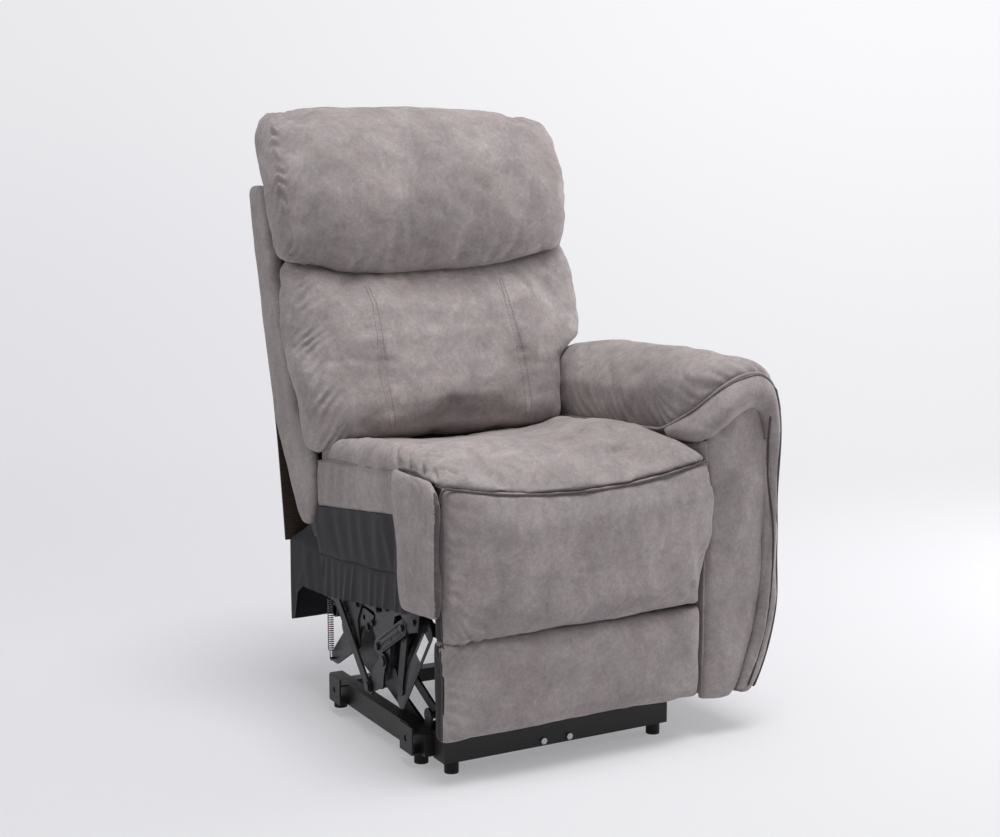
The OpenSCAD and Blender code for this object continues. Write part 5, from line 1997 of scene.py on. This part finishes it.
@dataclass
class Metalwork:
    """Finishes of the steel and timber frame, and the small pressed details on it."""

    finishes: Finishes

    def dress_frame(self) -> None:
        """Gives every visible frame piece its finish."""
        f = self.finishes
        choice = {
            "black_steel": ["base_rail_left", "base_rail_right", "front_cross_bar", "rear_cross_bar",
                            "joining_brackets", "control_links", "rear_torque_tube", "front_cross_tube",
                            "upper_links", "footrest_torque_tube", "lower_links", "guide_links",
                            "ottoman_brackets", "back_brackets", "recline_links"],
            "grey_steel": ["lift_arms", "lift_torque_tube", "side_plate_left", "side_plate_right", "lift_lugs",
                           "recline_cranks"],
            "rubber": ["base_feet"],
            "bright_steel": ["base_bolts"],
            "motor": ["lift_motor", "recline_motor"],
            "rod_steel": ["lift_rod", "recline_rod"],
            "timber": ["seat_front_rail", "seat_rear_rail", "arm_frame", "back_top_rail", "back_lower_rail"],
            "board": ["seat_side_rails", "boxing_board", "ottoman_board", "back_posts"],
            "seat_spring": ["seat_springs"],
            "panel": ["control_panel"],
            "spring": ["counter_spring"],
            "webbing": ["back_webbing"],
            "button": ["recline_button", "lift_button"],
            "suede_arm": ["arm_inner_panel"],
        }
        for finish, names in choice.items():
            for name in names:
                dress_node(name, getattr(f, finish))

    def link(self, name: str, start: tuple[float, float], end: tuple[float, float], x: float, half: float,
             thick: float, body: Body, slot: str, ribs: int = 0, heads: bool = True) -> Piece:
        """A pressed link with round ends, bolts and, where asked, long ribs.

        Args:
            name: The piece's name.
            start: The first end's middle as depth and height.
            end: The other end's middle.
            x: The face on the frame; the link grows away from the seat.
            half: Half its width.
            thick: Its thickness.
            body: The body it rides on.
            slot: A material slot's name; not used.
            ribs: The number of ribs pressed along it.
            heads: Whether a bolt head stands on each end.

        Returns:
            The link.
        """
        a, b = np.array(start, float), np.array(end, float)
        way = (b - a) / np.linalg.norm(b - a)
        side = np.array((-way[1], way[0]))
        bpy.ops.object.select_all(action="DESELECT")
        bpy.ops.mesh.primitive_circle_add(vertices=32, radius=half * MM, fill_type="NGON", location=(0, 0, 0))
        obj = bpy.context.object
        obj.name = obj.data.name = name
        for k, vertex in enumerate(obj.data.vertices):
            angle = FULL_TURN * (k + 0.5) / 32
            end_point = b if math.cos(angle) > 0 else a
            y, z = end_point + half * (way * math.cos(angle) + side * math.sin(angle))
            vertex.co = chair((x, y, z))
        select_only(obj)
        bpy.ops.object.mode_set(mode="EDIT")
        bpy.ops.mesh.select_all(action="SELECT")
        bpy.ops.mesh.extrude_region_move(TRANSFORM_OT_translate={"value": (-thick * MM, 0, 0)})
        bpy.ops.mesh.select_all(action="SELECT")
        bpy.ops.mesh.normals_make_consistent(inside=False)
        bpy.ops.object.mode_set(mode="OBJECT")
        bevel(obj, 0.5)
        parts = [obj]
        span = np.linalg.norm(b - a)
        for k in range(ribs):
            across = (k - (ribs - 1) / 2) * half * 1.35 / max(1, ribs - 1) if ribs > 1 else 0.0
            runs = np.linspace(span * 0.08, span * 0.92, 12)
            line = np.array([(x - thick - 0.2, *(a + side * across + way * run)) for run in runs])
            swell = np.concatenate([[0.3], np.ones(10), [0.3]])
            parts.append(tube(name + "_rib", to_frame(line), 1.9 * MM * swell, 10))
        for spot in (a, b) if heads else ():
            parts.append(self.bolt(name + "_bolt", (x - thick, spot[0], spot[1]), min(6.5, half * 0.55)))
        joined = join(parts, name)
        smooth(joined, 32)
        return fit_out(joined, self.finishes.grey_steel, body)

    @staticmethod
    def bolt(name: str, at: Sequence[float], radius: float) -> Piece:
        """A hexagon bolt head on a washer that points away from the seat on the open side.

        Args:
            name: Its name.
            at: Its foot in millimetres.
            radius: The head's radius.

        Returns:
            The bolt.
        """
        parts = []
        for sides, wide, deep, middle, edge, segments in (
                (24, radius * 1.35, 1.0, 0.4, 0.25, 1), (6, radius, 3.2, 2.4, 0.5, 2)):
            bpy.ops.object.select_all(action="DESELECT")
            bpy.ops.mesh.primitive_cylinder_add(
                vertices=sides, radius=wide * MM, depth=deep * MM,
                location=chair((at[0] - middle, at[1], at[2])), rotation=(0, math.radians(-90), 0))
            parts.append(bpy.context.object)
            settle(parts[-1])
            bevel(parts[-1], edge, segments)
        return join(parts, name)

    def details(self) -> None:
        """The extra links, plates and bolts on the open side's mechanism."""
        self.link("front_link_plate", (190, 92), (88, 232), -228.2, 15, 1.9, Body.LOWER_LINKS, "black steel",
                  heads=False)
        self.link("ribbed_link", (256, 170), (160, 226), -238.3, 14, 3.0, Body.CHASSIS, "grey steel", 3)
        plates = (
            ("inner_plate", (-219.6, -222.4), (
                (128, 268), (150, 300), (236, 306), (352, 296), (440, 268), (462, 236), (440, 196), (404, 150),
                (372, 112), (318, 96), (262, 104), (226, 124), (196, 158), (160, 212))),
            ("rear_gusset", (-238.3, -240.7), (
                (318, 236), (404, 214), (396, 172), (352, 132), (330, 150), (340, 196))),
            ("front_gusset", (-238.3, -240.7), (
                (96, 268), (150, 276), (168, 246), (138, 222), (104, 232))))
        pieces = []
        for name, faces, corners in plates:
            pieces.append(sideways(name, corners, faces))
            bevel(pieces[-1], 0.6)
        heads = ((-238.2, ((300, 193, 6.5), (281, 205, 5.5), (206, 196, 5), (226, 244, 5.5), (262, 232, 4.5),
                           (190, 252, 4.5))),
                 (-240.7, ((350, 150, 6), (385, 205, 5), (340, 224, 5), (366, 186, 4.5), (140, 262, 5),
                           (116, 246, 5))))
        pieces.append(join([self.bolt("bolt", (x, y, z), radius) for x, spots in heads for y, z, radius in spots],
                           "plate_bolts"))
        for piece in pieces:
            smooth(piece, 32)
            fit_out(piece, self.finishes.black_steel, Body.CHASSIS)

    def sticker(self) -> None:
        """A blank paper sticker on the long front link of the open side."""
        way = np.array((-0.589, 0.808))
        side = np.array((way[1], -way[0]))
        middle = np.array((108.0, 204.0))
        corners = [middle + way * a * 26 + side * b * 8.5 for a, b in ((-1, -1), (1, -1), (1, 1), (-1, 1))]
        obj = sideways("link_sticker", corners, (-230.15, -230.4))
        bevel(obj, 0.05, 1)
        fit_out(obj, self.finishes.label, Body.LOWER_LINKS)

    def build(self) -> None:
        """Dresses the frame and adds the details."""
        self.dress_frame()
        self.details()
        self.sticker()


def dress_node(name: str, material: Material) -> None:
    """Gives a frame piece its finish in every slot.

    Args:
        name: The node's name.
        material: Its finish.
    """
    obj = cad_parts[name]
    if not obj.material_slots:
        obj.data.materials.append(material)
    for slot in obj.material_slots:
        slot.material = material


# ---------- studio ----------


@dataclass
class Studio:
    """Pale floor and backdrop, soft lights and the camera."""

    camera_at: Triple = (-1.46768, -2.66088, 0.99577)
    camera_turn: Triple = (81.14, 0.0, -28.994)
    lens: float = 61.2
    sky: float = 0.3
    sun: float = 2.3
    sun_width: float = 34.0
    floor_share: float = 0.8
    wall_turn: float = 0.9

    def camera(self) -> None:
        """Sets the camera."""
        data = bpy.data.cameras.new("camera")
        data.lens = self.lens
        data.sensor_width = 36
        data.sensor_fit = "HORIZONTAL"
        data.clip_end = 100
        obj = bpy.data.objects.new("camera", data)
        obj.location = self.camera_at
        obj.rotation_euler = [math.radians(a) for a in self.camera_turn]
        bpy.context.scene.collection.objects.link(obj)
        bpy.context.scene.camera = obj

    def floor(self) -> None:
        """A wide pale floor that curves up into a pale backdrop behind the chair, with painted light on it."""
        s = Shader("studio_floor")
        # Painted light: the floor and backdrop get lighter to the right and up the backdrop.
        across = (s.axis(0) * 0.875 - s.axis(1) * 0.485).ramp(-2.2, 1.6)
        height = s.axis(2).ramp(0.02, 1.6)
        far = (s.axis(0) * 0.485 + s.axis(1) * 0.875).ramp(0.2, 3.4)
        ground = s.mix(across, srgb(222, 222, 227), srgb(238, 238, 241))
        wall = s.mix(across, srgb(232, 232, 235), srgb(249, 249, 251))
        colour = s.mix(height, ground, wall)
        dimmed = s.mix(1.0, colour, (*[self.floor_share] * 3, 1), "MULTIPLY")
        cloth = s.node("ShaderNodeBsdfDiffuse", {}, {"Color": dimmed})
        # Painted light: camera, glossy and transmission rays see the floor partly as a glow, stronger and with a
        # larger share further back.
        glow = s.node("ShaderNodeEmission", {}, {"Color": colour, "Strength": 0.94 + far * 0.09})
        path = s.node("ShaderNodeLightPath")
        seen = Value(s, path.outputs["Is Camera Ray"])
        mirrored = Value(s, path.outputs["Is Glossy Ray"])
        through = Value(s, path.outputs["Is Transmission Ray"])
        share = (seen + mirrored + through) * (0.40 + far * 0.56)
        mixed = s.node("ShaderNodeMixShader", {}, {0: share, 1: cloth.outputs[0], 2: glow.outputs[0]})
        s.tree.links.new(mixed.outputs[0], s.output.inputs[0])
        start = np.array(self.camera_at[:2])
        profile = [(d, 0.0) for d in (-14.0, -6.0, 0.0, 3.0, 5.0, 5.5)]
        turn = self.wall_turn
        profile += [(5.5 + turn * math.sin(a), turn - turn * math.cos(a)) for a in np.linspace(0.1, math.pi / 2, 16)]
        profile += [(6.4, 2.0), (6.4, 4.0), (6.4, 9.0)]
        wide = np.linspace(-14, 14, 15)
        points = [(*(start + AWAY * d + RIGHT * w), z) for d, z in profile for w in wide]
        obj = new_object("studio_floor", np.array(points), grid_faces(len(profile), len(wide)))
        smooth(obj)
        dress(obj, s.material)

    def lights(self) -> None:
        """The soft lamps and the world."""
        world = bpy.data.worlds.new("studio")
        bpy.context.scene.world = world
        world.use_nodes = True
        glow = world.node_tree.nodes["Background"]
        glow.inputs[0].default_value = (1.0, 0.995, 0.99, 1)
        glow.inputs[1].default_value = self.sky
        self.lamp("high_light", "SUN", (0, 0, 0), Vector((-0.08, 0.18, -1.0)), self.sun,
                  angle=math.radians(self.sun_width))
        for name, at, to, size, power in (
                ("open_side_light", (-2.6, 0.2, 2.3), (0, 0.1, 0.85), 1.2, 16),
                ("near_top_light", (-0.1, -0.7, 1.95), (0, 0.1, 0.9), 0.8, 6),
                ("arm_side_light", (2.6, -0.5, 0.85), (0.3, -0.1, 0.45), 1.2, 38)):
            self.lamp(name, "AREA", at, Vector(to) - Vector(at), power, shape="SQUARE", size=size)

    @staticmethod
    def lamp(name: str, kind: str, at: Sequence[float], way: Vector, power: float, **settings: Any) -> None:
        """One lamp of a kind at a place in metres, facing a way, with its power and other settings.

        Args:
            name: Its name.
            kind: Its kind.
            at: Its place in metres.
            way: The way that it faces.
            power: Its power in watts, or its strength.
            **settings: Its other properties.
        """
        data = bpy.data.lights.new(name, kind)
        data.energy = power
        for key, value in settings.items():
            setattr(data, key, value)
        obj = bpy.data.objects.new(name, data)
        obj.location = at
        obj.rotation_euler = way.to_track_quat("-Z", "Y").to_euler()
        bpy.context.scene.collection.objects.link(obj)

    def build(self) -> None:
        """Makes the studio."""
        self.camera()
        self.floor()
        self.lights()
        bpy.context.scene.view_settings.view_transform = "Standard"


def main() -> None:
    """Builds the chair's upholstery, dresses its frame and sets the studio."""
    logging.basicConfig(level=logging.INFO, format="%(message)s")
    Studio().build()
    finishes = Finishes()
    for part in (Metalwork(finishes), Footrest(finishes), Seat(finishes), Back(finishes), Arm(finishes),
                 DarkCloths(finishes)):
        part.build()
        LOG.info("%s done", type(part).__name__)


if __name__ == "__main__":
    main()
